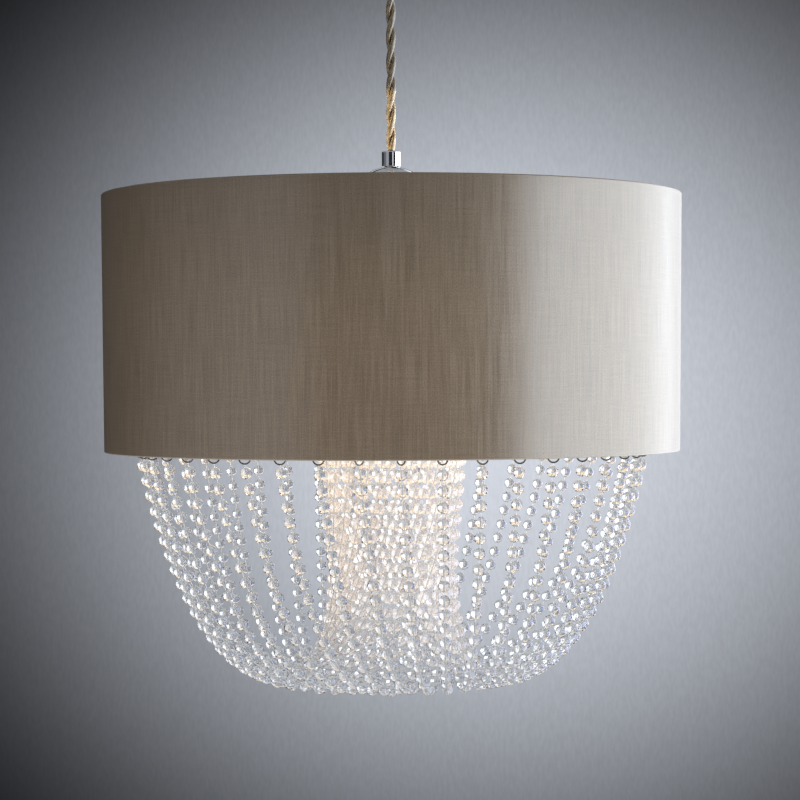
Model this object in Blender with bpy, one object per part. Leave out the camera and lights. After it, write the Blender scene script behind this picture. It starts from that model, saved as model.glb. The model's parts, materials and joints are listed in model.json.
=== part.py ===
"""Pendant light: a fabric drum shade on a twisted flex, with strands of clear beads.

The strands hang from a wide ring at the foot of the shade, swing past the middle and rise to
a small ring under the bulb. Lengths are in metres and +Z is up. The origin is where the
ceiling bracket meets the ceiling, and the light hangs below it on the Z axis.
"""

import math

import bmesh
import bpy
from mathutils import Matrix, Vector

MM = 0.001

# Clearance between neighbouring pieces, and between pieces that turn on each other
GAP = 0.3 * MM
RUNNING_GAP = 0.6 * MM

# Facets: steps round large, middling and small turned pieces
LARGE_STEPS = 60
MIDDLE_STEPS = 24
SMALL_STEPS = 16
ROD_SIDES = 8
WIRE_SIDES = 6
ROUND_POINTS = 8
BEND_POINTS = 5
WELD = 0.001 * MM

# Ceiling bracket and what it holds
BRACKET_LENGTH = 84.0 * MM
BRACKET_WIDTH = 18.0 * MM
BRACKET_THICKNESS = 2.0 * MM
BRACKET_TAB_DROP = 14.0 * MM
BRACKET_SLOT_RADIUS = 2.5 * MM
BRACKET_SLOT_SPACING = 50.0 * MM
CANOPY_RADIUS = 50.0 * MM
CANOPY_HEIGHT = 30.0 * MM
CANOPY_WALL = 1.0 * MM
CANOPY_CORNER_RADIUS = 14.0 * MM
CANOPY_SCREW_RADIUS = 1.8 * MM
CANOPY_SCREW_DROP = 8.0 * MM
CANOPY_SCREW_HEAD_RADIUS = 3.4 * MM
CANOPY_SCREW_HEAD_THICKNESS = 2.0 * MM
TERMINAL_BLOCK_LENGTH = 30.0 * MM
TERMINAL_BLOCK_WIDTH = 15.0 * MM
TERMINAL_BLOCK_HEIGHT = 11.0 * MM
TERMINAL_COUNT = 3
TERMINAL_SCREW_RADIUS = 1.9 * MM
TERMINAL_SCREW_LENGTH = 6.0 * MM

# Threaded stems, nuts and cord grips
STEM_RADIUS = 5.0 * MM
STEM_BORE_RADIUS = 3.4 * MM
NUT_FLATS = 14.0 * MM
NUT_THICKNESS = 3.5 * MM
OUTLET_RADIUS = 8.0 * MM
OUTLET_HEIGHT = 11.2 * MM
OUTLET_CHAMFER = 1.0 * MM
GRIP_RADIUS = 7.35 * MM
GRIP_HEIGHT = 11.8 * MM
GRIP_CHAMFER = 0.6 * MM
GRIP_SCREW_RADIUS = 1.5 * MM
GRIP_SCREW_DROP = 2.6 * MM

# Flex, from its bend under the outlet to its end in the lower cord grip
FLEX_RADIUS = 3.7 * MM
FLEX_LENGTH = 125.0 * MM
CORE_RADIUS = 1.1 * MM
CORE_OFFSET = 1.5 * MM

# Dome cap over the lampholder, and the lampholder
DOME_RADIUS = 35.0 * MM
DOME_WALL = 1.2 * MM
HOLDER_RADIUS = 20.0 * MM
HOLDER_WALL = 3.0 * MM
HOLDER_SKIRT = 28.0 * MM
HOLDER_UPPER_HEIGHT = 16.5 * MM
SHOULDER_WIDTH = 3.0 * MM
SHOULDER_HEIGHT = 3.0 * MM
HOLDER_CAP_TOP_RADIUS = 9.5 * MM
HOLDER_CAP_STRAIGHT = 2.5 * MM
HOLDER_CAP_WALL = 2.0 * MM
CONTACT_BLOCK_HEIGHT = 5.5 * MM
SCREW_SHELL_WALL = 0.8 * MM
CONTACT_RADIUS = 3.6 * MM
CONTACT_THICKNESS = 1.0 * MM
SHADE_RING_WIDTH = 7.0 * MM
SHADE_RING_HEIGHT = 6.0 * MM
SHADE_RING_LIP = 1.5 * MM

# Bulb
BULB_GLOBE_RADIUS = 30.0 * MM
BULB_LENGTH = 108.0 * MM
BULB_FLANK_ANGLE = math.radians(36)
BULB_GLASS_WALL = 1.0 * MM
BULB_CAP_RADIUS = 13.2 * MM
BULB_CAP_LENGTH = 22.0 * MM
BULB_CAP_WALL = 0.6 * MM
BULB_TIP_RADIUS = 4.5 * MM
BULB_TIP_HEIGHT = 1.8 * MM
BULB_STEM_RADIUS = 6.0 * MM
BULB_STEM_LENGTH = 42.0 * MM
FILAMENT_RADIUS = 0.7 * MM
FILAMENT_COIL_RADIUS = 5.0 * MM
FILAMENT_LENGTH = 24.0 * MM
FILAMENT_TURNS = 3
FILAMENT_POINTS = 27

# Shade
SHADE_TOP_RADIUS = 225.0 * MM
SHADE_TAPER = 1.9 * MM
SHADE_BOTTOM_RADIUS = SHADE_TOP_RADIUS - SHADE_TAPER
SHADE_HEIGHT = 198.0 * MM
FABRIC_THICKNESS = 0.8 * MM
ROLLED_EDGE_WIDTH = 5.0 * MM
LINER_THICKNESS = 1.0 * MM
SHADE_WIRE_RADIUS = 2.0 * MM
FITTER_MARGIN = 3.0 * MM
FITTER_THICKNESS = 1.5 * MM
FITTER_RECESS = 11.8 * MM
SPIDER_ROD_RADIUS = 1.8 * MM
ARM_COUNT = 3

# Bead frame
HUB_WIDTH = 14.0 * MM
HUB_THICKNESS = 2.0 * MM
FRAME_ROD_RADIUS = 2.0 * MM
FRAME_BEND_RADIUS = 14.0 * MM
INNER_ROD_RADIUS = 1.5 * MM
BEAD_WIRE_RADIUS = 1.5 * MM
OUTER_RING_RADIUS = 195.2 * MM
OUTER_RING_RISE = 2.1 * MM
INNER_RING_RADIUS = 61.3 * MM
INNER_RING_RISE = 63.1 * MM
JUMP_RING_RADIUS = 4.2 * MM
JUMP_WIRE_RADIUS = 0.6 * MM
JUMP_STEPS = 6
JUMP_SIDES = 3

# Bead strands. Near the middle they lie closer together than a bead is wide, so there a
# strand's solid has the width share of the distance to the next strand as its radius.
STRAND_COUNT = 42
STRANDS_PER_NODE = 3
STRAND_LENGTH = 496.4 * MM
STRAND_TURN = math.radians(120)
FIRST_HOOK_ANGLE = math.radians(-148)
BEAD_RADIUS = 4.0 * MM
CRIMP_RADIUS = 1.2 * MM
CRIMP_LENGTH = 6.0 * MM
WIDTH_SHARE = 0.46
CONTACT_SHARE = 0.8
STRAND_POINTS = 13
STRAND_SIDES = 4
STRAND_SAMPLES = 400

# Heights, worked out from the ceiling downwards
CANOPY_BOTTOM = -CANOPY_HEIGHT
OUTLET_TOP = CANOPY_BOTTOM - GAP
OUTLET_FACE = OUTLET_TOP - OUTLET_HEIGHT
BEND_CENTRE = OUTLET_FACE - RUNNING_GAP
FLEX_TOP = BEND_CENTRE - FLEX_RADIUS - GAP
FLEX_END = FLEX_TOP - FLEX_LENGTH
STEM_TOP = FLEX_END - GAP
GRIP_SHOULDER = STEM_TOP + GAP
GRIP_TOP = GRIP_SHOULDER + GRIP_HEIGHT / 2 - GAP
GRIP_BOTTOM = GRIP_TOP - GRIP_HEIGHT
DOME_CENTRE = GRIP_BOTTOM - GAP - math.sqrt(DOME_RADIUS**2 - (STEM_RADIUS + GAP) ** 2)
FITTER_TOP = DOME_CENTRE - GAP
SHADE_TOP = FITTER_TOP + FITTER_RECESS
SHADE_BOTTOM = SHADE_TOP - SHADE_HEIGHT
HUB_TOP = FITTER_TOP - FITTER_THICKNESS - GAP
HUB_BOTTOM = HUB_TOP - HUB_THICKNESS
SHADE_RING_TOP = HUB_BOTTOM - GAP
HOLDER_TOP = FITTER_TOP + GAP + HOLDER_UPPER_HEIGHT
HOLDER_BOTTOM = FITTER_TOP + GAP - HOLDER_SKIRT
CONTACT_BLOCK_TOP = HOLDER_TOP - GAP
CONTACT_BLOCK_BOTTOM = CONTACT_BLOCK_TOP - CONTACT_BLOCK_HEIGHT
BULB_TOP = CONTACT_BLOCK_BOTTOM - 2 * GAP - CONTACT_THICKNESS
BULB_BOTTOM = BULB_TOP - BULB_LENGTH
BULB_CAP_TOP = BULB_TOP - BULB_TIP_HEIGHT - GAP
OUTER_WIRE_HEIGHT = SHADE_BOTTOM + OUTER_RING_RISE
INNER_WIRE_HEIGHT = SHADE_BOTTOM + INNER_RING_RISE
FITTER_RADIUS = DOME_RADIUS + FITTER_MARGIN
HUB_RADIUS = HOLDER_RADIUS + HUB_WIDTH

# Angles of the arms: each frame arm stands midway between two strands' hooks
FRAME_ARM_PITCHES = 27.5
FRAME_ARM_ANGLE = FIRST_HOOK_ANGLE + FRAME_ARM_PITCHES * (math.tau / STRAND_COUNT)
SPIDER_ARM_ANGLE = math.radians(30)


def clear_scene():
    """Removes what the scene holds, so that only the light is in it."""
    for item in list(bpy.data.objects):
        bpy.data.objects.remove(item, do_unlink=True)


def finish(name, colour, roughness, metallic, alpha=1.0):
    """A Principled material of one plain colour."""
    made = bpy.data.materials.new(name)
    made.use_nodes = True
    shader = made.node_tree.nodes["Principled BSDF"]
    shader.inputs["Base Color"].default_value = (*colour, 1.0)
    shader.inputs["Roughness"].default_value = roughness
    shader.inputs["Metallic"].default_value = metallic
    shader.inputs["Alpha"].default_value = alpha
    made.diffuse_color = (*colour, alpha)
    return made


def add(name, data, material):
    """Links an object of this mesh or curve, with its own copy of the material."""
    item = bpy.data.objects.new(name, data)
    bpy.context.scene.collection.objects.link(item)
    if material:
        own = material.copy()
        own.name = name
        data.materials.append(own)
    return item


def mesh_from(shape, name, material, sharp=math.radians(40)):
    """Turns a bmesh into an object whose faces point outwards."""
    bmesh.ops.recalc_face_normals(shape, faces=shape.faces)
    mesh = bpy.data.meshes.new(name)
    shape.to_mesh(mesh)
    shape.free()
    mesh.shade_smooth()
    mesh.set_sharp_from_angle(angle=sharp)
    return add(name, mesh, material)


def spin_outline(shape, outline, steps, centre=(0, 0, 0), axis=(0, 0, 1), side=(1, 0, 0)):
    """Spins a closed outline of (radius, height) points about an axis through the centre."""
    along, out, middle = Vector(axis), Vector(side), Vector(centre)
    points = [shape.verts.new(middle + out * radius + along * height) for radius, height in outline]
    pairs = list(zip(points, points[1:]))
    on_axis = max(outline[0][0], outline[-1][0]) < WELD
    if not on_axis:
        pairs.append((points[-1], points[0]))
    edges = [shape.edges.new(pair) for pair in pairs]
    bmesh.ops.spin(
        shape, geom=points + edges, cent=middle, axis=along, angle=math.tau, steps=steps, use_merge=True
    )
    bmesh.ops.remove_doubles(shape, verts=shape.verts, dist=WELD)


def turned(name, outline, material, steps=MIDDLE_STEPS):
    """A piece turned about the Z axis from a closed outline of (radius, height) points."""
    shape = bmesh.new()
    spin_outline(shape, outline, steps)
    return mesh_from(shape, name, material)


def plain_ring(name, inner, outer, bottom, top, material, steps=MIDDLE_STEPS):
    """A flat ring of rectangular section."""
    outline = [(inner, bottom), (outer, bottom), (outer, top), (inner, top)]
    return turned(name, outline, material, steps)


def disc(name, radius, bottom, top, material, steps=MIDDLE_STEPS):
    """A solid disc or cylinder on the Z axis."""
    return turned(name, [(0, bottom), (radius, bottom), (radius, top), (0, top)], material, steps)


def circle(radius, centre_radius, height, sides):
    """The outline of a round wire's section, its centre at centre_radius from the axis."""
    turns = [math.tau * step / sides for step in range(sides)]
    return [(centre_radius + radius * math.cos(a), height + radius * math.sin(a)) for a in turns]


def wire_ring(name, radius, wire_radius, height, material, steps=LARGE_STEPS):
    """A ring bent from round wire."""
    return turned(name, circle(wire_radius, radius, height, WIRE_SIDES), material, steps)


def arc(centre_radius, centre_height, radius, start, end, points):
    """Points on an arc in the outline's plane, its angles in radians from +radius to +height."""
    turns = [start + (end - start) * step / (points - 1) for step in range(points)]
    return [(centre_radius + radius * math.cos(a), centre_height + radius * math.sin(a)) for a in turns]


def sweep(shape, path, sides):
    """Adds a closed tube along a path of (point, radius), its section carried without twist."""
    places = [place for place, _ in path]
    steps = [after - before for before, after in zip(places, places[1:])]
    ways = [steps[0]] + [a.normalized() + b.normalized() for a, b in zip(steps, steps[1:])] + [steps[-1]]
    out = ways[0].orthogonal().normalized()
    loops = []
    for (place, radius), way in zip(path, ways):
        way = way.normalized()
        out = (out - way * out.dot(way)).normalized()
        side = way.cross(out)
        turns = [math.tau * step / sides for step in range(sides)]
        points = [place + (out * math.cos(a) + side * math.sin(a)) * radius for a in turns]
        loops.append([shape.verts.new(point) for point in points])
    for one, two in zip(loops, loops[1:]):
        for k in range(sides):
            shape.faces.new((one[k], one[(k + 1) % sides], two[(k + 1) % sides], two[k]))
    shape.faces.new(loops[0][::-1])
    shape.faces.new(loops[-1])


def rod(name, path, radius, material, sides=ROD_SIDES):
    """A round rod bent along a list of points."""
    shape = bmesh.new()
    sweep(shape, [(Vector(place), radius) for place in path], sides)
    return mesh_from(shape, name, material)


def bars(name, ends, radius, material, sides=SMALL_STEPS):
    """One object of separate straight bars, one for each pair of end points."""
    shape = bmesh.new()
    for start, end in ends:
        sweep(shape, [(Vector(start), radius), (Vector(end), radius)], sides)
    return mesh_from(shape, name, material)


def combine(piece, other, operation):
    """Joins the other shape to a piece, or takes it out, and leaves it as a hidden guide."""
    other.hide_render = True
    other.display_type = "WIRE"
    modifier = piece.modifiers.new(other.name, "BOOLEAN")
    modifier.operation = operation
    modifier.solver = "EXACT"
    modifier.object = other


def cut(piece, cutter):
    """Takes the cutter's shape out of a piece."""
    combine(piece, cutter, "DIFFERENCE")


def join(piece, other):
    """Welds the other shape to a piece that it overlaps."""
    combine(piece, other, "UNION")


def around(count, first_angle):
    """Evenly spaced angles round the Z axis."""
    return [first_angle + math.tau * step / count for step in range(count)]


def at(radius, angle, height):
    """A point at a radius and an angle from +X, at a height."""
    return Vector((radius * math.cos(angle), radius * math.sin(angle), height))


def nut(name, bottom, material):
    """A hexagon nut with a round bore that clears the stem."""
    corner = NUT_FLATS / 2 / math.cos(math.pi / 6)
    piece = disc(name, corner, bottom, bottom + NUT_THICKNESS, material, steps=6)
    bore = disc(name + "_bore", STEM_RADIUS + GAP, bottom - GAP, bottom + NUT_THICKNESS + GAP, None)
    cut(piece, bore)
    return piece


def ceiling_bracket(steel):
    """A strap with its ends bent down, slotted for ceiling screws and drilled for the canopy's."""
    half, inside = BRACKET_LENGTH / 2, BRACKET_LENGTH / 2 - BRACKET_THICKNESS
    foot = -BRACKET_TAB_DROP
    outline = [
        (-half, 0), (-half, foot), (-inside, foot), (-inside, -BRACKET_THICKNESS),
        (inside, -BRACKET_THICKNESS), (inside, foot), (half, foot), (half, 0),
    ]
    shape = bmesh.new()
    corners = [shape.verts.new((x, -BRACKET_WIDTH / 2, z)) for x, z in outline]
    face = shape.faces.new(corners)
    grown = bmesh.ops.extrude_face_region(shape, geom=[face])["geom"]
    moved = [item for item in grown if isinstance(item, bmesh.types.BMVert)]
    bmesh.ops.translate(shape, vec=(0, BRACKET_WIDTH, 0), verts=moved)
    bracket = mesh_from(shape, "ceiling_bracket", steel)
    slot = BRACKET_SLOT_SPACING / 2
    holes = [((side * slot, 0, GAP), (side * slot, 0, -BRACKET_THICKNESS - GAP)) for side in (-1, 1)]
    cut(bracket, bars("bracket_slots", holes, BRACKET_SLOT_RADIUS, None))
    level = -CANOPY_SCREW_DROP
    tabs = [((side * (inside - GAP), 0, level), (side * (half + GAP), 0, level)) for side in (-1, 1)]
    cut(bracket, bars("bracket_tab_holes", tabs, CANOPY_SCREW_RADIUS + GAP, None))


def terminal_block(plastic, steel):
    """The connector under the bracket, with its clamping screws in their holes."""
    top = -BRACKET_THICKNESS - GAP
    shape = bmesh.new()
    size = Matrix.Diagonal((TERMINAL_BLOCK_LENGTH, TERMINAL_BLOCK_WIDTH, TERMINAL_BLOCK_HEIGHT, 1))
    middle = Matrix.Translation((0, 0, top - TERMINAL_BLOCK_HEIGHT / 2))
    bmesh.ops.create_cube(shape, size=1, matrix=middle @ size)
    block = mesh_from(shape, "terminal_block", plastic)
    front = -TERMINAL_BLOCK_WIDTH / 2
    pitch = TERMINAL_BLOCK_LENGTH / TERMINAL_COUNT
    places = [pitch * (step - (TERMINAL_COUNT - 1) / 2) for step in range(TERMINAL_COUNT)]
    level = top - TERMINAL_BLOCK_HEIGHT / 2
    seat = front + TERMINAL_SCREW_LENGTH
    holes = [((x, front - GAP, level), (x, seat + GAP, level)) for x in places]
    cut(block, bars("terminal_holes", holes, TERMINAL_SCREW_RADIUS + GAP, None))
    for number, x in enumerate(places, 1):
        rod(f"terminal_screw_{number}", [(x, front, level), (x, seat, level)], TERMINAL_SCREW_RADIUS, steel)


def canopy(chrome, steel):
    """The ceiling cup, open at the top, with its hole for the outlet and its two side screws."""
    corner, rim = CANOPY_CORNER_RADIUS, -GAP
    centre_radius, centre_height = CANOPY_RADIUS - corner, CANOPY_BOTTOM + corner
    outside = arc(centre_radius, centre_height, corner, 0, -math.pi / 2, BEND_POINTS)
    inside = arc(centre_radius, centre_height, corner - CANOPY_WALL, -math.pi / 2, 0, BEND_POINTS)
    hole = STEM_RADIUS + GAP
    outline = (
        [(CANOPY_RADIUS, rim)] + outside + [(hole, CANOPY_BOTTOM), (hole, CANOPY_BOTTOM + CANOPY_WALL)]
        + inside + [(CANOPY_RADIUS - CANOPY_WALL, rim)]
    )
    cup = turned("canopy", outline, chrome)
    level, reach = -CANOPY_SCREW_DROP, CANOPY_RADIUS + GAP
    inner = BRACKET_LENGTH / 2 - 2 * BRACKET_THICKNESS
    holes = [((side * inner, 0, level), (side * (reach + GAP), 0, level)) for side in (-1, 1)]
    cut(cup, bars("canopy_screw_holes", holes, CANOPY_SCREW_RADIUS + GAP, None))
    shank, head = CANOPY_SCREW_RADIUS, CANOPY_SCREW_HEAD_RADIUS
    end = reach + CANOPY_SCREW_HEAD_THICKNESS
    outline = [(0, inner), (shank, inner), (shank, reach), (head, reach), (head, end), (0, end)]
    for name, side in (("canopy_screw_left", -1), ("canopy_screw_right", 1)):
        shape = bmesh.new()
        spin_outline(shape, outline, SMALL_STEPS, (0, 0, level), (side, 0, 0), (0, 0, 1))
        mesh_from(shape, name, steel)


def outlet(chrome, steel, copper):
    """The cord outlet under the canopy, its nut inside, and the cores up to the terminals."""
    spigot_top = CANOPY_BOTTOM + CANOPY_WALL + 2 * GAP + 2 * NUT_THICKNESS
    socket = FLEX_RADIUS + RUNNING_GAP
    mouth = math.asin(RUNNING_GAP / socket)
    throat = math.acos(STEM_BORE_RADIUS / socket)
    bowl = arc(0, BEND_CENTRE, socket, mouth, throat, BEND_POINTS)
    outline = bowl + [
        (STEM_BORE_RADIUS, spigot_top),
        (STEM_RADIUS, spigot_top),
        (STEM_RADIUS, OUTLET_TOP),
        (OUTLET_RADIUS, OUTLET_TOP),
        (OUTLET_RADIUS, OUTLET_FACE + OUTLET_CHAMFER),
        (OUTLET_RADIUS - OUTLET_CHAMFER, OUTLET_FACE),
    ]
    turned("canopy_outlet", outline, chrome)
    nut("canopy_nut", CANOPY_BOTTOM + CANOPY_WALL + GAP, steel)
    bottom = BEND_CENTRE + FLEX_RADIUS + GAP
    top = -BRACKET_THICKNESS - TERMINAL_BLOCK_HEIGHT - 2 * GAP
    cores("supply", bottom, top, copper)


def cores(name, bottom, top, material):
    """The flex's two insulated cores between two heights."""
    for kind, x in (("live", -CORE_OFFSET), ("neutral", CORE_OFFSET)):
        rod(f"{name}_core_{kind}", [(x, 0, bottom), (x, 0, top)], CORE_RADIUS, material, WIRE_SIDES)


def flex(fabric):
    """The braided flex: a ball where it bends under the outlet, then its straight fall."""
    shape = bmesh.new()
    spin_outline(shape, arc(0, 0, FLEX_RADIUS, -math.pi / 2, math.pi / 2, ROUND_POINTS), SMALL_STEPS)
    bend = mesh_from(shape, "flex_bend", fabric)
    bend.location = (0, 0, BEND_CENTRE)
    spacing = 5 * FLEX_RADIUS
    count = max(2, round(FLEX_LENGTH / spacing) + 1)
    drops = [FLEX_LENGTH * step / (count - 1) for step in range(count)]
    curve = bpy.data.curves.new("flex", "CURVE")
    curve.dimensions = "3D"
    curve.bevel_depth = FLEX_RADIUS
    curve.bevel_resolution = 3
    curve.use_fill_caps = True
    spline = curve.splines.new("POLY")
    spline.points.add(count - 1)
    for point, drop in zip(spline.points, drops):
        point.co = (0, 0, FLEX_TOP - drop, 1)
    add("flex", curve, fabric)


def cord_grip(chrome, steel, copper):
    """The lower cord grip, its grub screw, the threaded stem under it and the cores inside."""
    bore, clear = FLEX_RADIUS + GAP, STEM_RADIUS + GAP
    outline = [
        (clear, GRIP_BOTTOM), (GRIP_RADIUS, GRIP_BOTTOM), (GRIP_RADIUS, GRIP_TOP - GRIP_CHAMFER),
        (GRIP_RADIUS - GRIP_CHAMFER, GRIP_TOP), (bore, GRIP_TOP), (bore, GRIP_SHOULDER), (clear, GRIP_SHOULDER),
    ]
    grip = turned("cord_grip", outline, chrome)
    level = GRIP_TOP - GRIP_SCREW_DROP
    hole = [((0, bore - GAP, level), (0, GRIP_RADIUS + GAP, level))]
    cut(grip, bars("grip_screw_hole", hole, GRIP_SCREW_RADIUS + GAP, None))
    rod("cord_grip_screw", [(0, bore, level), (0, GRIP_RADIUS, level)], GRIP_SCREW_RADIUS, steel)
    stem_foot = HOLDER_TOP + HOLDER_CAP_STRAIGHT + GAP
    plain_ring("stem", STEM_BORE_RADIUS, STEM_RADIUS, stem_foot, STEM_TOP, steel, SMALL_STEPS)
    cores("lamp", CONTACT_BLOCK_TOP + GAP, STEM_TOP - GAP, copper)


def dome_cap(chrome, steel):
    """The half-round chrome cap over the lampholder, clamped by the nut under its top."""
    hole = STEM_RADIUS + GAP
    inner = DOME_RADIUS - DOME_WALL
    outside = arc(0, DOME_CENTRE, DOME_RADIUS, 0, math.acos(hole / DOME_RADIUS), ROUND_POINTS)
    inside = arc(0, DOME_CENTRE, inner, math.acos(hole / inner), 0, ROUND_POINTS)
    turned("dome_cap", outside + inside, chrome)
    corner = NUT_FLATS / 2 / math.cos(math.pi / 6)
    under = DOME_CENTRE + math.sqrt(inner**2 - corner**2)
    nut("stem_nut", under - GAP - NUT_THICKNESS, steel)
    return under - GAP - NUT_THICKNESS


def lampholder(nut_bottom, plastic, brass):
    """Cap, threaded body, contact block, screw shell and centre contact."""
    inner, shoulder = HOLDER_RADIUS - HOLDER_WALL, HOLDER_RADIUS + SHOULDER_WIDTH
    seat = FITTER_TOP + GAP
    turned(
        "lampholder_body",
        [
            (inner, HOLDER_BOTTOM), (HOLDER_RADIUS, HOLDER_BOTTOM), (HOLDER_RADIUS, seat), (shoulder, seat),
            (shoulder, seat + SHOULDER_HEIGHT), (HOLDER_RADIUS, seat + SHOULDER_HEIGHT),
            (HOLDER_RADIUS, HOLDER_TOP), (inner, HOLDER_TOP),
        ],
        plastic,
    )
    foot, wall, hole = HOLDER_TOP + GAP, HOLDER_CAP_WALL, STEM_RADIUS + GAP
    top = nut_bottom - GAP
    turned(
        "lampholder_cap",
        [
            (HOLDER_RADIUS, foot), (HOLDER_RADIUS, foot + HOLDER_CAP_STRAIGHT),
            (HOLDER_CAP_TOP_RADIUS, top), (hole, top), (hole, top - wall),
            (HOLDER_CAP_TOP_RADIUS - wall / 2, top - wall),
            (HOLDER_RADIUS - wall, foot + HOLDER_CAP_STRAIGHT), (HOLDER_RADIUS - wall, foot),
        ],
        plastic,
    )
    disc("contact_block", inner - GAP, CONTACT_BLOCK_BOTTOM, CONTACT_BLOCK_TOP, plastic)
    shell = BULB_CAP_RADIUS + RUNNING_GAP
    shell_top = CONTACT_BLOCK_BOTTOM - GAP
    shell_foot = BULB_CAP_TOP - BULB_CAP_LENGTH
    plain_ring("screw_shell", shell, shell + SCREW_SHELL_WALL, shell_foot, shell_top, brass)
    disc("centre_contact", CONTACT_RADIUS, shell_top - CONTACT_THICKNESS, shell_top, brass, SMALL_STEPS)


def shade_ring(plastic):
    """The threaded ring that clamps the shade and the bead frame to the lampholder."""
    inner = HOLDER_RADIUS + RUNNING_GAP
    outer, bottom = inner + SHADE_RING_WIDTH, SHADE_RING_TOP - SHADE_RING_HEIGHT
    outline = [
        (inner, bottom), (outer - SHADE_RING_LIP, bottom), (outer - SHADE_RING_LIP, SHADE_RING_TOP - SHADE_RING_LIP),
        (outer, SHADE_RING_TOP - SHADE_RING_LIP), (outer, SHADE_RING_TOP), (inner, SHADE_RING_TOP),
    ]
    turned("shade_ring", outline, plastic)


def pear(offset, top, top_radius):
    """The bulb's side from its foot on the axis up to its neck, moved inwards by the offset."""
    radius, centre = BULB_GLOBE_RADIUS - offset, BULB_BOTTOM + BULB_GLOBE_RADIUS
    globe = arc(0, centre, radius, -math.pi / 2, BULB_FLANK_ANGLE, ROUND_POINTS)
    start_radius, start = globe[-1]
    slope = math.tan(BULB_FLANK_ANGLE)
    flank = []
    for step in range(1, BEND_POINTS + 1):
        t = step / BEND_POINTS
        height = start + (top - start) * t
        ease = (1 - t) ** 2 * (1 + 2 * t)
        lead = t * (1 - t) ** 2 * (top - start) * slope
        flank.append((top_radius + (start_radius - top_radius) * ease - lead, height))
    return globe + flank


def bulb(glass, brass, black, glow):
    """A screw-cap bulb: cap, tip, glass, the stem inside and its filament."""
    foot = BULB_CAP_TOP - BULB_CAP_LENGTH
    inner = BULB_CAP_RADIUS - BULB_CAP_WALL
    turned(
        "bulb_cap",
        [
            (0, BULB_CAP_TOP - BULB_CAP_WALL), (inner, BULB_CAP_TOP - BULB_CAP_WALL), (inner, foot),
            (BULB_CAP_RADIUS, foot), (BULB_CAP_RADIUS, BULB_CAP_TOP), (0, BULB_CAP_TOP),
        ],
        brass,
    )
    disc("bulb_tip", BULB_TIP_RADIUS, BULB_TOP - BULB_TIP_HEIGHT, BULB_TOP, black, SMALL_STEPS)
    neck_top = foot + BULB_CAP_LENGTH / 2
    neck = inner - GAP
    outside = pear(0, neck_top, neck)
    inside = pear(BULB_GLASS_WALL, neck_top, neck - BULB_GLASS_WALL)
    turned("bulb_glass", inside + outside[::-1], glass)
    top = BULB_CAP_TOP - BULB_CAP_WALL - GAP
    foot = top - BULB_STEM_LENGTH
    half = BULB_STEM_RADIUS / 2
    stem = [(0, foot), (half, foot), (half, foot + BULB_STEM_LENGTH / 2), (BULB_STEM_RADIUS, top), (0, top)]
    turned("bulb_stem", stem, glass, SMALL_STEPS)
    path = [(0, 0, foot - GAP)]
    for step in range(FILAMENT_POINTS):
        share = step / (FILAMENT_POINTS - 1)
        turn = math.tau * FILAMENT_TURNS * share
        path.append(at(FILAMENT_COIL_RADIUS, turn, foot - FILAMENT_COIL_RADIUS - FILAMENT_LENGTH * share))
    rod("filament", path, FILAMENT_RADIUS, glow, STRAND_SIDES)


def shade(fabric, liner, steel):
    """Fabric skin with rolled edges, its liner, the two wire rings, the spider and the fitter."""
    taper = (SHADE_TOP_RADIUS - SHADE_BOTTOM_RADIUS) / SHADE_HEIGHT

    def outer_at(height):
        return SHADE_BOTTOM_RADIUS + taper * (height - SHADE_BOTTOM)

    skin, lip = FABRIC_THICKNESS, ROLLED_EDGE_WIDTH
    low, high = SHADE_BOTTOM + skin, SHADE_TOP - skin
    turned(
        "shade_fabric",
        [
            (SHADE_BOTTOM_RADIUS - lip, SHADE_BOTTOM), (SHADE_BOTTOM_RADIUS, SHADE_BOTTOM),
            (SHADE_TOP_RADIUS, SHADE_TOP), (SHADE_TOP_RADIUS - lip, SHADE_TOP), (SHADE_TOP_RADIUS - lip, high),
            (outer_at(high) - skin, high), (outer_at(low) - skin, low), (SHADE_BOTTOM_RADIUS - lip, low),
        ],
        fabric,
        LARGE_STEPS,
    )
    low, high, depth = low + GAP, high - GAP, skin + GAP
    inside = depth + LINER_THICKNESS
    turned(
        "shade_liner",
        [
            (outer_at(low) - inside, low), (outer_at(low) - depth, low),
            (outer_at(high) - depth, high), (outer_at(high) - inside, high),
        ],
        liner,
        LARGE_STEPS,
    )
    wire = SHADE_WIRE_RADIUS
    top_height, bottom_height = high - wire, low + wire
    top_radius = outer_at(top_height - wire) - inside - GAP - wire
    bottom_radius = outer_at(bottom_height - wire) - inside - GAP - wire
    wire_ring("shade_top_ring", top_radius, wire, top_height, steel)
    wire_ring("shade_bottom_ring", bottom_radius, wire, bottom_height, steel)
    bore, level = HOLDER_RADIUS + RUNNING_GAP, FITTER_TOP - FITTER_THICKNESS / 2
    spider = plain_ring("shade_spider", bore, FITTER_RADIUS, FITTER_TOP - FITTER_THICKNESS, FITTER_TOP, steel)
    start, end = FITTER_RADIUS - SPIDER_ROD_RADIUS, top_radius - wire - 2 * GAP
    ends = [(at(start, a, level), at(end, a, top_height)) for a in around(ARM_COUNT, SPIDER_ARM_ANGLE)]
    join(spider, bars("spider_arms", ends, SPIDER_ROD_RADIUS, None, ROD_SIDES))


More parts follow.
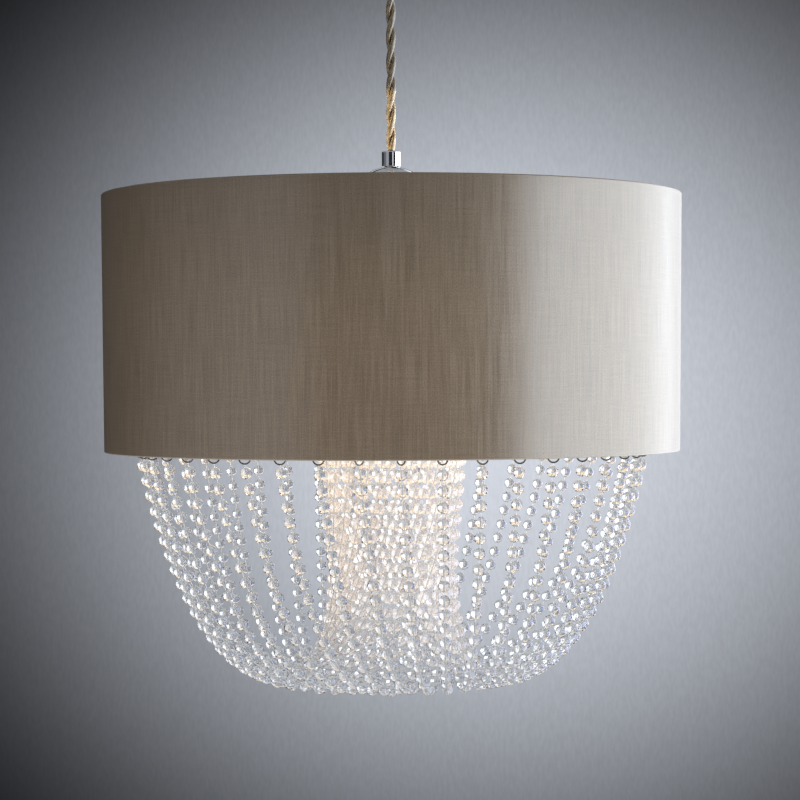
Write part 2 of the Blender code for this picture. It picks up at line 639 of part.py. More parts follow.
def bead_frame(steel):
    """Hub under the fitter, and arms that carry the outer ring and, on a rod, the inner ring."""
    bore = HOLDER_RADIUS + RUNNING_GAP
    plain_ring("frame_hub", bore, HUB_RADIUS, HUB_BOTTOM, HUB_TOP, steel)
    level = HUB_TOP - FRAME_ROD_RADIUS
    foot = OUTER_WIRE_HEIGHT + BEAD_WIRE_RADIUS + GAP
    bend = FRAME_BEND_RADIUS
    corner = arc(OUTER_RING_RADIUS - bend, level - bend, bend, math.pi / 2, 0, BEND_POINTS)
    path = [(HUB_RADIUS + GAP, level)] + corner + [(OUTER_RING_RADIUS, foot)]
    foot = INNER_WIRE_HEIGHT + BEAD_WIRE_RADIUS + GAP
    for number, angle in enumerate(around(ARM_COUNT, FRAME_ARM_ANGLE), 1):
        bent = [at(radius, angle, height) for radius, height in path]
        arm = rod(f"frame_arm_{number}", bent, FRAME_ROD_RADIUS, steel)
        ends = [(at(INNER_RING_RADIUS, angle, foot), at(INNER_RING_RADIUS, angle, level))]
        join(arm, bars(f"inner_rod_{number}", ends, INNER_ROD_RADIUS, None, ROD_SIDES))
    steps = STRAND_COUNT * 2
    wire_ring("outer_bead_ring", OUTER_RING_RADIUS, BEAD_WIRE_RADIUS, OUTER_WIRE_HEIGHT, steel, steps)
    wire_ring("inner_bead_ring", INNER_RING_RADIUS, BEAD_WIRE_RADIUS, INNER_WIRE_HEIGHT, steel, STRAND_COUNT)


def jump_ring_centre(wire_height):
    """Height of a jump ring's centre when its top rests on the bead ring's wire."""
    inner = JUMP_RING_RADIUS - JUMP_WIRE_RADIUS * math.cos(math.pi / JUMP_SIDES)
    return wire_height - inner + (BEAD_WIRE_RADIUS + GAP) / math.cos(math.pi / JUMP_STEPS)


def jump_ring(shape, radius, wire_height, angle):
    """Adds a small wire ring that hangs on a bead ring, in the upright plane through the axis."""
    section = circle(JUMP_WIRE_RADIUS, JUMP_RING_RADIUS, 0, JUMP_SIDES)
    middle, along = at(radius, angle, jump_ring_centre(wire_height)), at(1, angle + math.pi / 2, 0)
    spin_outline(shape, section, JUMP_STEPS, middle, along, side=(0, 0, 1))


def catenary_scale(length, rise, span):
    """The catenary's scale: the root of sinh(u) / u = stretch, by halving, as span / 2 / u."""
    stretch = math.sqrt(length**2 - rise**2) / span
    low, high = 0.0, 1.0
    while math.sinh(high) / high < stretch:
        high *= 2
    for _ in range(60):
        u = (low + high) / 2
        if math.sinh(u) / u < stretch:
            low = u
        else:
            high = u
    return span / 2 / u


def strand_curve(hook_angle, shares):
    """Points of a hanging strand, a catenary between the feet of its two jump rings.

    The shares are of the level distance between the two feet, so the points lie closer
    together round the bottom of the curve than along its steep sides.
    """
    start = at(OUTER_RING_RADIUS, hook_angle, jump_ring_centre(OUTER_WIRE_HEIGHT) - JUMP_RING_RADIUS)
    end_height = jump_ring_centre(INNER_WIRE_HEIGHT) - JUMP_RING_RADIUS
    end = at(INNER_RING_RADIUS, hook_angle + STRAND_TURN, end_height)
    flat = Vector((end.x - start.x, end.y - start.y, 0))
    span, rise = flat.length, end.z - start.z
    scale = catenary_scale(STRAND_LENGTH, rise, span)
    lowest = span / 2 - scale * math.atanh(rise / STRAND_LENGTH)
    foot = start.z - scale * math.cosh(lowest / scale)
    points = []
    for share in shares:
        place = start + flat * share
        place.z = foot + scale * math.cosh((span * share - lowest) / scale)
        points.append(place)
    return points


def strand_solid(hook_angle):
    """A strand's path with its radius at each point: full beads, or less where they crowd."""
    fine = [step / STRAND_SAMPLES for step in range(STRAND_SAMPLES + 1)]
    step_round = math.tau / STRAND_COUNT
    beside = [point for side in (-1, 1) for point in strand_curve(hook_angle + side * step_round, fine)]
    own = strand_curve(hook_angle, fine)
    begin = next(share for share, point in zip(fine, own) if (point - own[0]).length > CRIMP_LENGTH)
    end = next(share for share, point in zip(fine[::-1], own[::-1]) if (point - own[-1]).length > CRIMP_LENGTH)
    shares = [begin + (end - begin) * step / (STRAND_POINTS - 1) for step in range(STRAND_POINTS)]
    path = [(own[0], CRIMP_RADIUS)]
    for place in strand_curve(hook_angle, shares):
        nearest = min((place - other).length for other in beside)
        path.append((place, min(BEAD_RADIUS, WIDTH_SHARE * nearest)))
    return path + [(own[-1], CRIMP_RADIUS)]


def contact_bead(shape, hook_angle):
    """Adds a small ball where two neighbouring strands come nearest, so that they are one body."""
    fine = [step / STRAND_SAMPLES for step in range(STRAND_SAMPLES + 1)]
    one, two = strand_curve(hook_angle, fine), strand_curve(hook_angle + math.tau / STRAND_COUNT, fine)
    pairs = ((a - b).length for a, b in zip(one, two))
    nearest = min(range(len(fine)), key=list(pairs).__getitem__)
    place = one[nearest]
    partner = min(two, key=lambda other: (other - place).length)
    radius = CONTACT_SHARE * (partner - place).length / 2
    middle = Matrix.Translation((place + partner) / 2)
    bmesh.ops.create_icosphere(shape, subdivisions=1, radius=radius, matrix=middle)


def bead_strands(glass):
    """All the strands, a few to a node, joined where their beads touch at the waist.

    Each strand is a plain solid in the space that its beads fill, with its two jump rings.
    """
    angles = around(STRAND_COUNT, FIRST_HOOK_ANGLE)
    for first in range(0, STRAND_COUNT, STRANDS_PER_NODE):
        group = angles[first:first + STRANDS_PER_NODE]
        number = first // STRANDS_PER_NODE + 1
        strands, links = bmesh.new(), bmesh.new()
        for angle in group:
            sweep(strands, strand_solid(angle), STRAND_SIDES)
            jump_ring(links, OUTER_RING_RADIUS, OUTER_WIRE_HEIGHT, angle)
            jump_ring(links, INNER_RING_RADIUS, INNER_WIRE_HEIGHT, angle + STRAND_TURN)
        for angle in group[:-1]:
            contact_bead(links, angle)
        node = mesh_from(strands, f"bead_strands_{number:02d}", glass)
        join(node, mesh_from(links, f"strand_links_{number:02d}", None))


def build():
    """Makes every piece of the light."""
    clear_scene()
    chrome = finish("chrome", (0.80, 0.80, 0.81), 0.10, 1.0)
    steel = finish("steel", (0.62, 0.62, 0.63), 0.30, 1.0)
    white_wire = finish("white_wire", (0.80, 0.80, 0.78), 0.45, 0.0)
    brass = finish("brass", (0.72, 0.56, 0.30), 0.30, 1.0)
    plastic = finish("plastic", (0.83, 0.83, 0.80), 0.40, 0.0)
    black = finish("black", (0.05, 0.05, 0.05), 0.40, 0.0)
    core = finish("core", (0.45, 0.25, 0.14), 0.50, 0.0)
    braid = finish("braid", (0.62, 0.55, 0.42), 0.70, 0.0)
    fabric = finish("fabric", (0.47, 0.43, 0.38), 0.55, 0.0)
    liner = finish("liner", (0.82, 0.80, 0.75), 0.60, 0.0)
    glass = finish("glass", (0.92, 0.94, 0.96), 0.05, 0.0, 0.45)
    glow = finish("glow", (1.0, 0.78, 0.45), 0.40, 0.0)

    ceiling_bracket(steel)
    terminal_block(plastic, steel)
    canopy(chrome, chrome)
    outlet(chrome, steel, core)
    flex(braid)
    cord_grip(chrome, steel, core)
    nut_bottom = dome_cap(chrome, steel)
    lampholder(nut_bottom, plastic, brass)
    shade_ring(plastic)
    bulb(glass, brass, black, glow)
    shade(fabric, liner, white_wire)
    bead_frame(chrome)
    bead_strands(glass)


build()
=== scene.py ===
import json
import math

import bmesh
import bpy
import numpy as np
from mathutils import Matrix


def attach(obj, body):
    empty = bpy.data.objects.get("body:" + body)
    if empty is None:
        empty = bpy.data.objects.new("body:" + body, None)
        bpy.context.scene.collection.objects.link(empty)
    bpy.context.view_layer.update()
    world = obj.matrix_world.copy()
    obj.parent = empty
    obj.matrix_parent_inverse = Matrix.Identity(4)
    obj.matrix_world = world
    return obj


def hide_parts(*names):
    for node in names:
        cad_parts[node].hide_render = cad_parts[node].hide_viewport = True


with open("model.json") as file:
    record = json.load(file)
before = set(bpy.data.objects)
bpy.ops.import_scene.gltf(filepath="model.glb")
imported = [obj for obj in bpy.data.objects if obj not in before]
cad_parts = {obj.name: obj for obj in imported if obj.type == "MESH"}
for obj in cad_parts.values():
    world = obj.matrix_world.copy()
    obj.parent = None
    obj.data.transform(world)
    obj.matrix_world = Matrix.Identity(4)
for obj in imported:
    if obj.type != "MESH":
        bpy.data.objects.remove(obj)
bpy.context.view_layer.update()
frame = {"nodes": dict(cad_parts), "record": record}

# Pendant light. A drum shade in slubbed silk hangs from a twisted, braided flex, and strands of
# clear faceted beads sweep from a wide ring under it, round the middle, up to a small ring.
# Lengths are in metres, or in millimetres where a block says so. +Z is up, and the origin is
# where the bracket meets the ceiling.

MM = 0.001
RANDOM = np.random.default_rng(7)

# Camera, fitted to the photograph, in pixels of its 800 by 800 frame and in metres
FRAME_PIXELS = 800
FOCAL_PIXELS = 2342.9
AXIS_ROW = 372.65
SENSOR_WIDTH_MM = 36.0
CAMERA_PLACE = (0.00625, -1.8291, -0.3381)
CAMERA_ROLL = -0.00363

# Turned pieces, in millimetres like their outlines below
CANOPY_RADIUS, CANOPY_BOTTOM, CANOPY_CORNER, CANOPY_WALL = 50.0, -30.0, 14.0, 1.0
CANOPY_RIM, CANOPY_SCREW_LEVEL, CANOPY_SCREW_HOLE = -0.3, -8.0, 2.1
OUTLET_RADIUS, OUTLET_SHOULDER, OUTLET_FACE = 8.0, -30.3, -41.5
OUTLET_TAIL_RADIUS, OUTLET_TAIL_TOP, OUTLET_BORE = 5.0, -21.4, 3.4
BEND_CENTRE, BEND_SOCKET = -42.1, 4.3
STEM_HOLE = 5.3
GRIP_RADIUS, GRIP_TOP, GRIP_BOTTOM, GRIP_SHOULDER = 7.35, -165.5, -177.3, -171.1
GRIP_BORE, GRIP_SCREW_DROP, GRIP_SCREW_HOLE = 4.0, 2.6, 1.8
DOME_RADIUS, DOME_WALL, DOME_CENTRE = 35.0, 1.2, -212.1964
HOLDER_TOP, HOLDER_BOTTOM, HOLDER_SEAT = -195.6964, -240.1964, -212.1964
HOLDER_RADIUS, HOLDER_BORE, COLLAR_RADIUS, COLLAR_HEIGHT = 20.0, 17.0, 23.0, 3.0
FITTER_TOP, FITTER_RADIUS, FITTER_THICKNESS = -212.4964, 38.0, 1.5
HUB_TOP, HUB_RADIUS, HUB_THICKNESS = -214.2964, 34.0, 2.0
RING_TOP, RING_BORE, RING_RADIUS, RING_LIP_RADIUS = -216.5964, 20.6, 26.1, 27.6
RING_HEIGHT, RING_LIP_HEIGHT = 6.0, 1.5
NOTCH_COUNT, NOTCH_DEPTH = 24, 0.9
BULB_CAP_TOP, BULB_CAP_LENGTH, BULB_CAP_RADIUS, BULB_CAP_WALL = -205.1964, 22.0, 13.2, 0.6

# Flex, as the CAD has it
FLEX_TOP = -46.1 * MM
FLEX_END = -171.1 * MM
FLEX_DIAMETER = 7.4 * MM
FLEX_LAY = 39.4 * MM
FLEX_PLIES = 2
CORE_WIDTH_SHARE = 1.27

# Shade, in millimetres
SHADE_TOP = -200.6964
SHADE_BOTTOM = -398.6964
SHADE_TOP_RADIUS = 225.0
SHADE_BOTTOM_RADIUS = 223.1
ROLLED_EDGE = 5.0
FABRIC_THICKNESS = 0.8
LINER_THICKNESS = 1.0
GAP = 0.3
SHADE_WIRE_RADIUS = 2.0
LAP_TURN = math.radians(2.4)
LAP_RISE = 0.35
SPIDER_ROD_RADIUS = 1.8

# Bead frame, in millimetres
ARM_ANGLES = [math.radians(87.714 + 120 * k) for k in range(3)]
SPIDER_ANGLES = [math.radians(30 + 120 * k) for k in range(3)]
ROD_LEVEL = -216.2964
ROD_RADIUS = 2.0
ROD_BEND = 14.0
INNER_ROD_RADIUS = 1.5
BEAD_WIRE_RADIUS = 1.5

# Strands of beads, with the small ring at each end
STRAND_COUNT = 42
STRANDS_PER_NODE = 3
STRAND_LENGTH = 495.2 * MM
STRAND_TURN = math.radians(120)
FIRST_HOOK_ANGLE = math.radians(-148)
OUTER_RING_RADIUS = 195.2 * MM
OUTER_WIRE_HEIGHT = -396.5964 * MM
INNER_RING_RADIUS = 61.3 * MM
INNER_WIRE_HEIGHT = -335.5964 * MM
JUMP_RING_DROP = 1.8215 * MM
JUMP_RING_RADIUS = 4.2 * MM
JUMP_WIRE_RADIUS = 0.6 * MM
JUMP_RING_TURN = 50
BEAD_CORNER_RADIUS = 4.5 * MM
BEAD_SIDES = 10
BEAD_TILTS = (-66, -23, 23, 66)
BEAD_SOFTNESS = 0.5
BEAD_PITCH = 12.0 * MM
BEADS_PER_STRAND = 41
THREAD_RADIUS = 0.36 * MM

# Strands, in millimetres: their spare length, and the crowd round the waist
STRAND_SPARE = (-2.6, 0.2)
CROWD_START = (230, 290)
CROWD_END = (400, 450)
CROWD_LEAN = 2.6


# Shapes

def grid_mesh(name, points, wrap_rows=False, wrap_columns=False, cap_ends=False, uv_size=(1, 1), weld=True):
    """A surface through a grid of points, shaped (rows, columns, 3).

    A wrapped direction joins its last line to its first, and cap_ends closes the first and the
    last row with a face each. The UV map runs from 0 to uv_size along rows and columns.
    """
    rows, columns = points.shape[:2]
    row_steps = rows if wrap_rows else rows - 1
    column_steps = columns if wrap_columns else columns - 1
    i, j = np.meshgrid(np.arange(row_steps), np.arange(column_steps), indexing="ij")
    i, j = i.ravel(), j.ravel()
    corner_rows = np.stack([i, i, i + 1, i + 1], 1)
    corner_columns = np.stack([j, j + 1, j + 1, j], 1)
    quads = (corner_rows % rows) * columns + corner_columns % columns
    u = corner_rows / row_steps * uv_size[0]
    v = corner_columns / column_steps * uv_size[1]
    faces = [list(map(int, quad)) for quad in quads]
    uv = np.stack([u.ravel(), v.ravel()], 1)
    if cap_ends:
        first, last = np.arange(columns)[::-1], (rows - 1) * columns + np.arange(columns)
        faces += [list(map(int, first)), list(map(int, last))]
        uv = np.concatenate([uv, np.zeros((2 * columns, 2))])
    return mesh_object(name, points.reshape(-1, 3), faces, uv, weld)


def mesh_object(name, points, faces, uv=None, weld=True):
    """An object from points and faces, its doubles merged and its faces turned outwards."""
    mesh = bpy.data.meshes.new(name)
    mesh.from_pydata(points.tolist(), [], faces)
    if uv is not None:
        layer = mesh.uv_layers.new(name="surface")
        layer.data.foreach_set("uv", uv.astype(np.float32).ravel())
    if weld:
        work = bmesh.new()
        work.from_mesh(mesh)
        bmesh.ops.remove_doubles(work, verts=work.verts, dist=0.002 * MM)
        bmesh.ops.dissolve_degenerate(work, edges=work.edges, dist=0.001 * MM)
        bmesh.ops.recalc_face_normals(work, faces=work.faces)
        work.to_mesh(mesh)
        work.free()
    piece = bpy.data.objects.new(name, mesh)
    bpy.context.scene.collection.objects.link(piece)
    return piece


def smooth(piece, degrees=38):
    """Smooth shading, with edges sharper than the angle kept crisp."""
    piece.data.shade_smooth()
    piece.data.set_sharp_from_angle(angle=math.radians(degrees))
    return piece


def lathe(name, outline, steps=96, turn=None, rise=None):
    """A closed outline of (radius, height), in millimetres, turned about the Z axis.

    turn holds the angles where they aren't even, and rise adds to the radius, by point and angle.
    """
    outline = np.asarray(outline, float)
    turn = np.linspace(0, math.tau, steps, endpoint=False) if turn is None else turn
    radius, height = outline[:, 0][:, None], outline[:, 1][:, None]
    radius = radius + (0 if rise is None else rise(radius, height, turn))
    points = np.stack([radius * np.cos(turn), radius * np.sin(turn), height + 0 * turn], 2) * MM
    closed = min(outline[0, 0], outline[-1, 0]) > 1e-3
    return smooth(grid_mesh(name, points, wrap_rows=closed, wrap_columns=True))


def drilled(piece, start, end, radius):
    """The piece with a round hole cut through it, its place and size in millimetres."""
    start, end = np.asarray(start, float) * MM, np.asarray(end, float) * MM
    up = np.roll(end - start, 1)
    drill = tube("drill", np.stack([start, end]), radius * MM, up, 24)
    cut = piece.modifiers.new("hole", "BOOLEAN")
    cut.operation, cut.solver, cut.object = "DIFFERENCE", "EXACT", drill
    graph = bpy.context.evaluated_depsgraph_get()
    mesh = bpy.data.meshes.new_from_object(piece.evaluated_get(graph))
    piece.modifiers.clear()
    piece.data = mesh
    bpy.data.objects.remove(drill)
    return smooth(piece)


def arc_points(centre_radius, centre_height, radius, start, end, count):
    """Points on an arc in the outline's plane, its angles in degrees."""
    turn = np.radians(np.linspace(start, end, count))
    out, up = radius * np.cos(turn), radius * np.sin(turn)
    return np.stack([centre_radius + out, centre_height + up], 1).tolist()


def frames_along(path, up):
    """Unit side and normal at each point of a path that stays square to up."""
    tangent = np.gradient(path, axis=-2)
    tangent /= np.linalg.norm(tangent, axis=-1, keepdims=True)
    side = np.cross(up, tangent)
    side /= np.linalg.norm(side, axis=-1, keepdims=True)
    return side, np.cross(tangent, side)


def tube(name, path, radius, up, sides=12):
    """A round tube: each point of the path plus radius times (cos a side + sin a normal)."""
    path = np.asarray(path, float)
    side, normal = frames_along(path, np.asarray(up, float))
    turn = np.linspace(0, math.tau, sides, endpoint=False)[None, :, None]
    ring = side[:, None] * np.cos(turn) + normal[:, None] * np.sin(turn)
    points = path[:, None] + ring * np.broadcast_to(np.asarray(radius), len(path))[:, None, None]
    return smooth(grid_mesh(name, points, wrap_columns=True, cap_ends=True), 60)


def wire_ring(name, radius, wire, height, steps=168, sides=12):
    """A ring bent from round wire, in millimetres."""
    return lathe(name, arc_points(radius, height, wire, 0, 360 - 360 / sides, sides), steps)


def plain_ring(name, inner, outer, bottom, top, edge=0.2, steps=96):
    """A flat ring with its outer edges eased, in millimetres."""
    outline = [(inner, bottom), (outer - edge, bottom), (outer, bottom + edge)]
    return lathe(name, outline + [(outer, top - edge), (outer - edge, top), (inner, top)], steps)


def joined(name, pieces):
    """Several pieces as one object."""
    work = bmesh.new()
    for piece in pieces:
        work.from_mesh(piece.data)
        bpy.data.objects.remove(piece)
    mesh = bpy.data.meshes.new(name)
    work.to_mesh(mesh)
    work.free()
    piece = bpy.data.objects.new(name, mesh)
    bpy.context.scene.collection.objects.link(piece)
    return piece


def dress(piece, material, body, slot, *nodes):
    """Gives a piece its material and body, and hides the CAD nodes that it stands for. The slot argument is
    not used.
    """
    piece.data.materials.clear()
    piece.data.materials.append(material)
    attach(piece, body)
    if nodes:
        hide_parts(*nodes)
    return piece


# Materials

class Number:
    """A socket in a material, with the operators that add Math nodes."""

    def __init__(self, finish, socket):
        self.finish, self.socket = finish, socket

    def maths(self, operation, *others):
        values = dict(enumerate((self, *others)))
        return self.finish.node("ShaderNodeMath", {"operation": operation}, values)

    def __add__(self, other):
        return self.maths("ADD", other)

    __radd__ = __add__

    def __sub__(self, other):
        return self.maths("SUBTRACT", other)

    def __rsub__(self, other):
        return self.finish.node("ShaderNodeMath", {"operation": "SUBTRACT"}, {0: other, 1: self})

    def __mul__(self, other):
        return self.maths("MULTIPLY", other)

    __rmul__ = __mul__

    def __truediv__(self, other):
        return self.maths("DIVIDE", other)

    def step(self, low, high, start=0.0, end=1.0):
        """Smoothly from start to end as the number goes from low to high."""
        values = {"Value": self, "From Min": low, "From Max": high, "To Min": start, "To Max": end}
        return self.finish.node("ShaderNodeMapRange", {"interpolation_type": "SMOOTHSTEP"}, values)


class Nodes:
    """A node tree and what adds nodes to it."""

    def __init__(self, tree):
        self.tree = tree

    def put(self, socket, value):
        if isinstance(value, Number):
            self.tree.links.new(value.socket, socket)
        elif socket.type == "RGBA" and len(value) == 3:
            socket.default_value = (*value, 1.0)
        else:
            socket.default_value = value

    def node(self, kind, settings, sockets, output=0):
        """Adds a node: its settings first, then the values or links of its sockets."""
        node = self.tree.nodes.new(kind)
        for setting, value in settings.items():
            setattr(node, setting, value)
        for socket, value in sockets.items():
            self.put(node.inputs[socket], value)
        return Number(self, node.outputs[output])

    def coordinates(self, kind):
        """A texture coordinate, whole and as its three numbers."""
        whole = self.node("ShaderNodeTexCoord", {}, {}, kind)
        return whole, [self.node("ShaderNodeSeparateXYZ", {}, {0: whole}, axis) for axis in range(3)]

    def place(self):
        """The point on the object, whole and as three numbers."""
        return self.coordinates("Object")

    def surface(self):
        """The two numbers of the piece's own UV map."""
        return self.coordinates("UV")[1][:2]

    def rays(self, *kinds):
        """For each kind of ray a number that is 1 on such rays and 0 on the others."""
        return [self.node("ShaderNodeLightPath", {}, {}, f"Is {kind} Ray") for kind in kinds]

    def point(self, x, y, z=0.0):
        return self.node("ShaderNodeCombineXYZ", {}, {0: x, 1: y, 2: z})

    def noise(self, where, scale=1.0, detail=2.0, roughness=0.5):
        sockets = {"Vector": where, "Scale": scale, "Detail": detail, "Roughness": roughness}
        return self.node("ShaderNodeTexNoise", {}, sockets)

    def mix(self, share, one, two):
        return self.node("ShaderNodeMix", {"data_type": "RGBA"}, {0: share, 6: one, 7: two}, 2)


class Finish(Nodes):
    """A Principled material and the nodes that feed it."""

    def __init__(self, name, colour, roughness, metallic=0.0, **sockets):
        self.material = bpy.data.materials.new(name)
        self.material.use_nodes = True
        super().__init__(self.material.node_tree)
        self.shader = self.tree.nodes["Principled BSDF"]
        plain = {"Base Color": colour, "Roughness": roughness, "Metallic": metallic, **sockets}
        for socket, value in plain.items():
            self.feed(socket, value)

    def feed(self, socket, value):
        self.put(self.shader.inputs[socket], value)

    def glow(self, colour, strength):
        """Light of the surface's own."""
        self.feed("Emission Color", colour)
        self.feed("Emission Strength", strength)

    def bump(self, height, strength, distance):
        sockets = {"Height": height, "Strength": strength, "Distance": distance}
        self.feed("Normal", self.node("ShaderNodeBump", {}, sockets))


def silk():
    """Champagne faux silk: upright slubbed warp threads, a finer level weft and a soft gloss.

    Painted shade darkens its upper half a little towards the top, and a painted highlight makes its lowest
    millimetre paler, where the lamp's light catches the edge.
    """
    made = Finish("shade_silk", (0.40, 0.36, 0.31), 0.42, IOR=1.9)
    _, (x, y, z) = made.place()
    round_way = x.maths("ARCTAN2", y * -1.0) * SHADE_TOP_RADIUS
    up = z * 1000
    warp = made.noise(made.point(round_way * 0.95, up * 0.025), detail=3.0, roughness=0.6)
    slub = made.noise(made.point(round_way * 0.28, up * 0.010, 4.0), detail=2.0)
    weft = made.noise(made.point(round_way * 1.1, up * 1.0, 9.0), detail=2.0, roughness=0.6)
    bar = made.noise(made.point(round_way * 0.03, up * 0.9, 15.0), detail=2.0)
    tone = warp * 0.34 + slub * 0.12 + weft * 0.42 + bar * 0.12
    # Painted shade: over its upper half the cloth darkens towards the top.
    tone_and_top_shade = tone.step(0.35, 0.65) * up.step(-300.0, SHADE_TOP, 1.0, 0.74)
    cloth = made.mix(tone_and_top_shade, (0.205, 0.151, 0.101), (0.425, 0.318, 0.222))
    # Painted highlight: the lowest millimetre is paler, where the lamp's light catches the edge.
    painted_edge_light = up.step(SHADE_BOTTOM + 1.1, SHADE_BOTTOM + 0.3)
    made.feed("Base Color", made.mix(painted_edge_light, cloth, (0.62, 0.53, 0.42)))
    made.feed("Roughness", slub.step(0.3, 0.7, 0.28, 0.36))
    made.bump(warp * 0.4 + weft * 0.6, 0.5, 0.12 * MM)
    return made.material


def braid():
    """Silky braid over each core: fine yarns that run along it at a slant, cream among olive."""
    made = Finish("flex_braid", (0.2, 0.165, 0.115), 0.30, IOR=1.8)
    along, across = made.surface()
    yarn = made.noise(made.point(along * 5.0 + across * 2.0, across * 26.0), detail=2.0)
    rib = (along * 180.0 + across * 12.0).maths("SINE") * 0.5 + 0.5
    tone = yarn * 0.8 + rib * 0.2
    made.feed("Base Color", made.mix(tone.step(0.38, 0.70), (0.083, 0.058, 0.031), (0.41, 0.33, 0.215)))
    made.bump(tone, 0.4, 0.15 * MM)
    return made.material


def chrome():
    """Polished chrome with the faintest haze."""
    made = Finish("polished_chrome", (0.86, 0.86, 0.87), 0.06, 1.0)
    place, _ = made.place()
    made.feed("Roughness", made.noise(place, 60.0, 3.0).step(0.3, 0.75, 0.04, 0.12))
    return made.material


def metal(name, colour, low, high, scale=180.0):
    """Plated or brushed metal whose roughness wanders a little."""
    made = Finish(name, colour, low, 1.0)
    place, _ = made.place()
    patch = made.noise(place, scale, 3.0)
    made.feed("Roughness", patch.step(0.25, 0.75, low, high))
    made.feed("Base Color", made.mix(patch, [0.88 * c for c in colour], colour))
    return made.material


def moulded(name, colour, roughness, grain=900.0, depth=0.03 * MM):
    """Moulded plastic or a paint coat, with a fine grain."""
    made = Finish(name, colour, roughness)
    place, _ = made.place()
    fine = made.noise(place, grain, 2.0)
    made.feed("Roughness", fine.step(0.2, 0.8, roughness - 0.06, roughness + 0.08))
    cloud = made.noise(place, 25.0, 2.0)
    made.feed("Base Color", made.mix(cloud, [0.93 * c for c in colour], colour))
    made.bump(fine, 0.2, depth)
    return made.material


def bead_glass():
    """Clear cut crystal with a faint pearly film. Round the middle, near the lamp, the beads have a painted
    glow for the lamp's light: warm on the left, and paler on the right where the key light falls.
    """
    made = Finish("bead_crystal", (0.995, 0.993, 0.99), 0.0, IOR=1.44)
    made.feed("Transmission Weight", 1.0)
    made.feed("Thin Film Thickness", 200.0)
    made.feed("Thin Film IOR", 1.62)
    _, (x, y, z) = made.place()
    # Painted glow: the beads round the middle near the lamp glow as if lit by it, paler on the right where
    # the key light falls.
    middle = (x * x + y * y).maths("SQRT").step(0.078, 0.060)
    near = middle * (z.step(-0.59, -0.50) * 0.76 + z.step(-0.46, -0.405) * 0.24)
    painted_glow_colour = made.mix(x.step(-0.04, 0.05), (1.0, 0.74, 0.51), (1.14, 0.97, 0.84))
    made.glow(made.mix(near, (0, 0, 0), painted_glow_colour), 0.062)
    return made.material


def nylon():
    """The clear thread that the beads are strung on, with a painted glow for the glints of light along it."""
    made = Finish("clear_thread", (0.95, 0.96, 0.98), 0.25)
    # Painted glow: glints of light along the thread.
    made.glow((0.90, 0.94, 1.0), 0.10)
    _, (x, y, z) = made.place()
    made.feed("Roughness", made.noise(made.point(x, y, z), 400.0, 1.0).step(0.3, 0.7, 0.2, 0.35))
    return made.material


def frosted_lamp():
    """The bulb's glass, lit from inside: brightest round its middle."""
    made = Finish("lit_bulb", (0.95, 0.9, 0.82), 0.3)
    _, (_, _, z) = made.place()
    share = (z * 1000).step(-240.0, -262.0)
    made.glow(made.mix(share, (0.8, 0.5, 0.26), (1.0, 0.74, 0.48)), 6.0)
    return made.material


def lit_liner():
    """White diffusing film with a painted glow for the lamp's light on it: warm, and brightest level with the
    bulb.
    """
    made = Finish("liner_film", (0.86, 0.83, 0.77), 0.55)
    place, (_, _, z) = made.place()
    fine = made.noise(place, 500.0, 2.0)
    made.feed("Roughness", fine.step(0.2, 0.8, 0.5, 0.62))
    # Painted glow for the lamp's light on the film, falling off above and below the bulb's height.
    off = (z + 0.290) / 0.11
    level = (off * off * -1.0).maths("EXPONENT")
    made.glow(made.mix(level, (0.42, 0.30, 0.19), (1.0, 0.80, 0.57)), 0.5)
    return made.material


def glowing_wire():
    """The filament."""
    made = Finish("filament_glow", (1.0, 0.7, 0.4), 0.4)
    made.glow((1.0, 0.62, 0.28), 12.0)
    return made.material


# Camera, lights and backdrop

def set_camera():
    """A long lens, level with a point a third of the way up the drum, as in the photograph."""
    data = bpy.data.cameras.new("camera")
    data.sensor_width = SENSOR_WIDTH_MM
    data.lens = FOCAL_PIXELS * SENSOR_WIDTH_MM / FRAME_PIXELS
    data.shift_y = (AXIS_ROW - FRAME_PIXELS / 2) / FRAME_PIXELS
    camera = bpy.data.objects.new("camera", data)
    turn = Matrix.Rotation(math.pi / 2, 4, "X") @ Matrix.Rotation(CAMERA_ROLL, 4, "Z")
    camera.matrix_world = Matrix.Translation(CAMERA_PLACE) @ turn
    bpy.context.scene.collection.objects.link(camera)
    bpy.context.scene.camera = camera


WALL_RADIUS = 7.0
WALL_TOP = 4.9
WALL_COLOUR = (0.933, 0.982, 1.084)
WALL_STRENGTH = 3.0
FLOOR_HEIGHT = -3.05
ROOM_STEPS = 192

# The pool of light on the wall, fitted to the photograph's
POOL_PLACE = (0.345, -0.475)
POOL_SIZE = (1.674, 1.598)
POOL_DIMMING = 0.348
POOL_FALL = 0.377


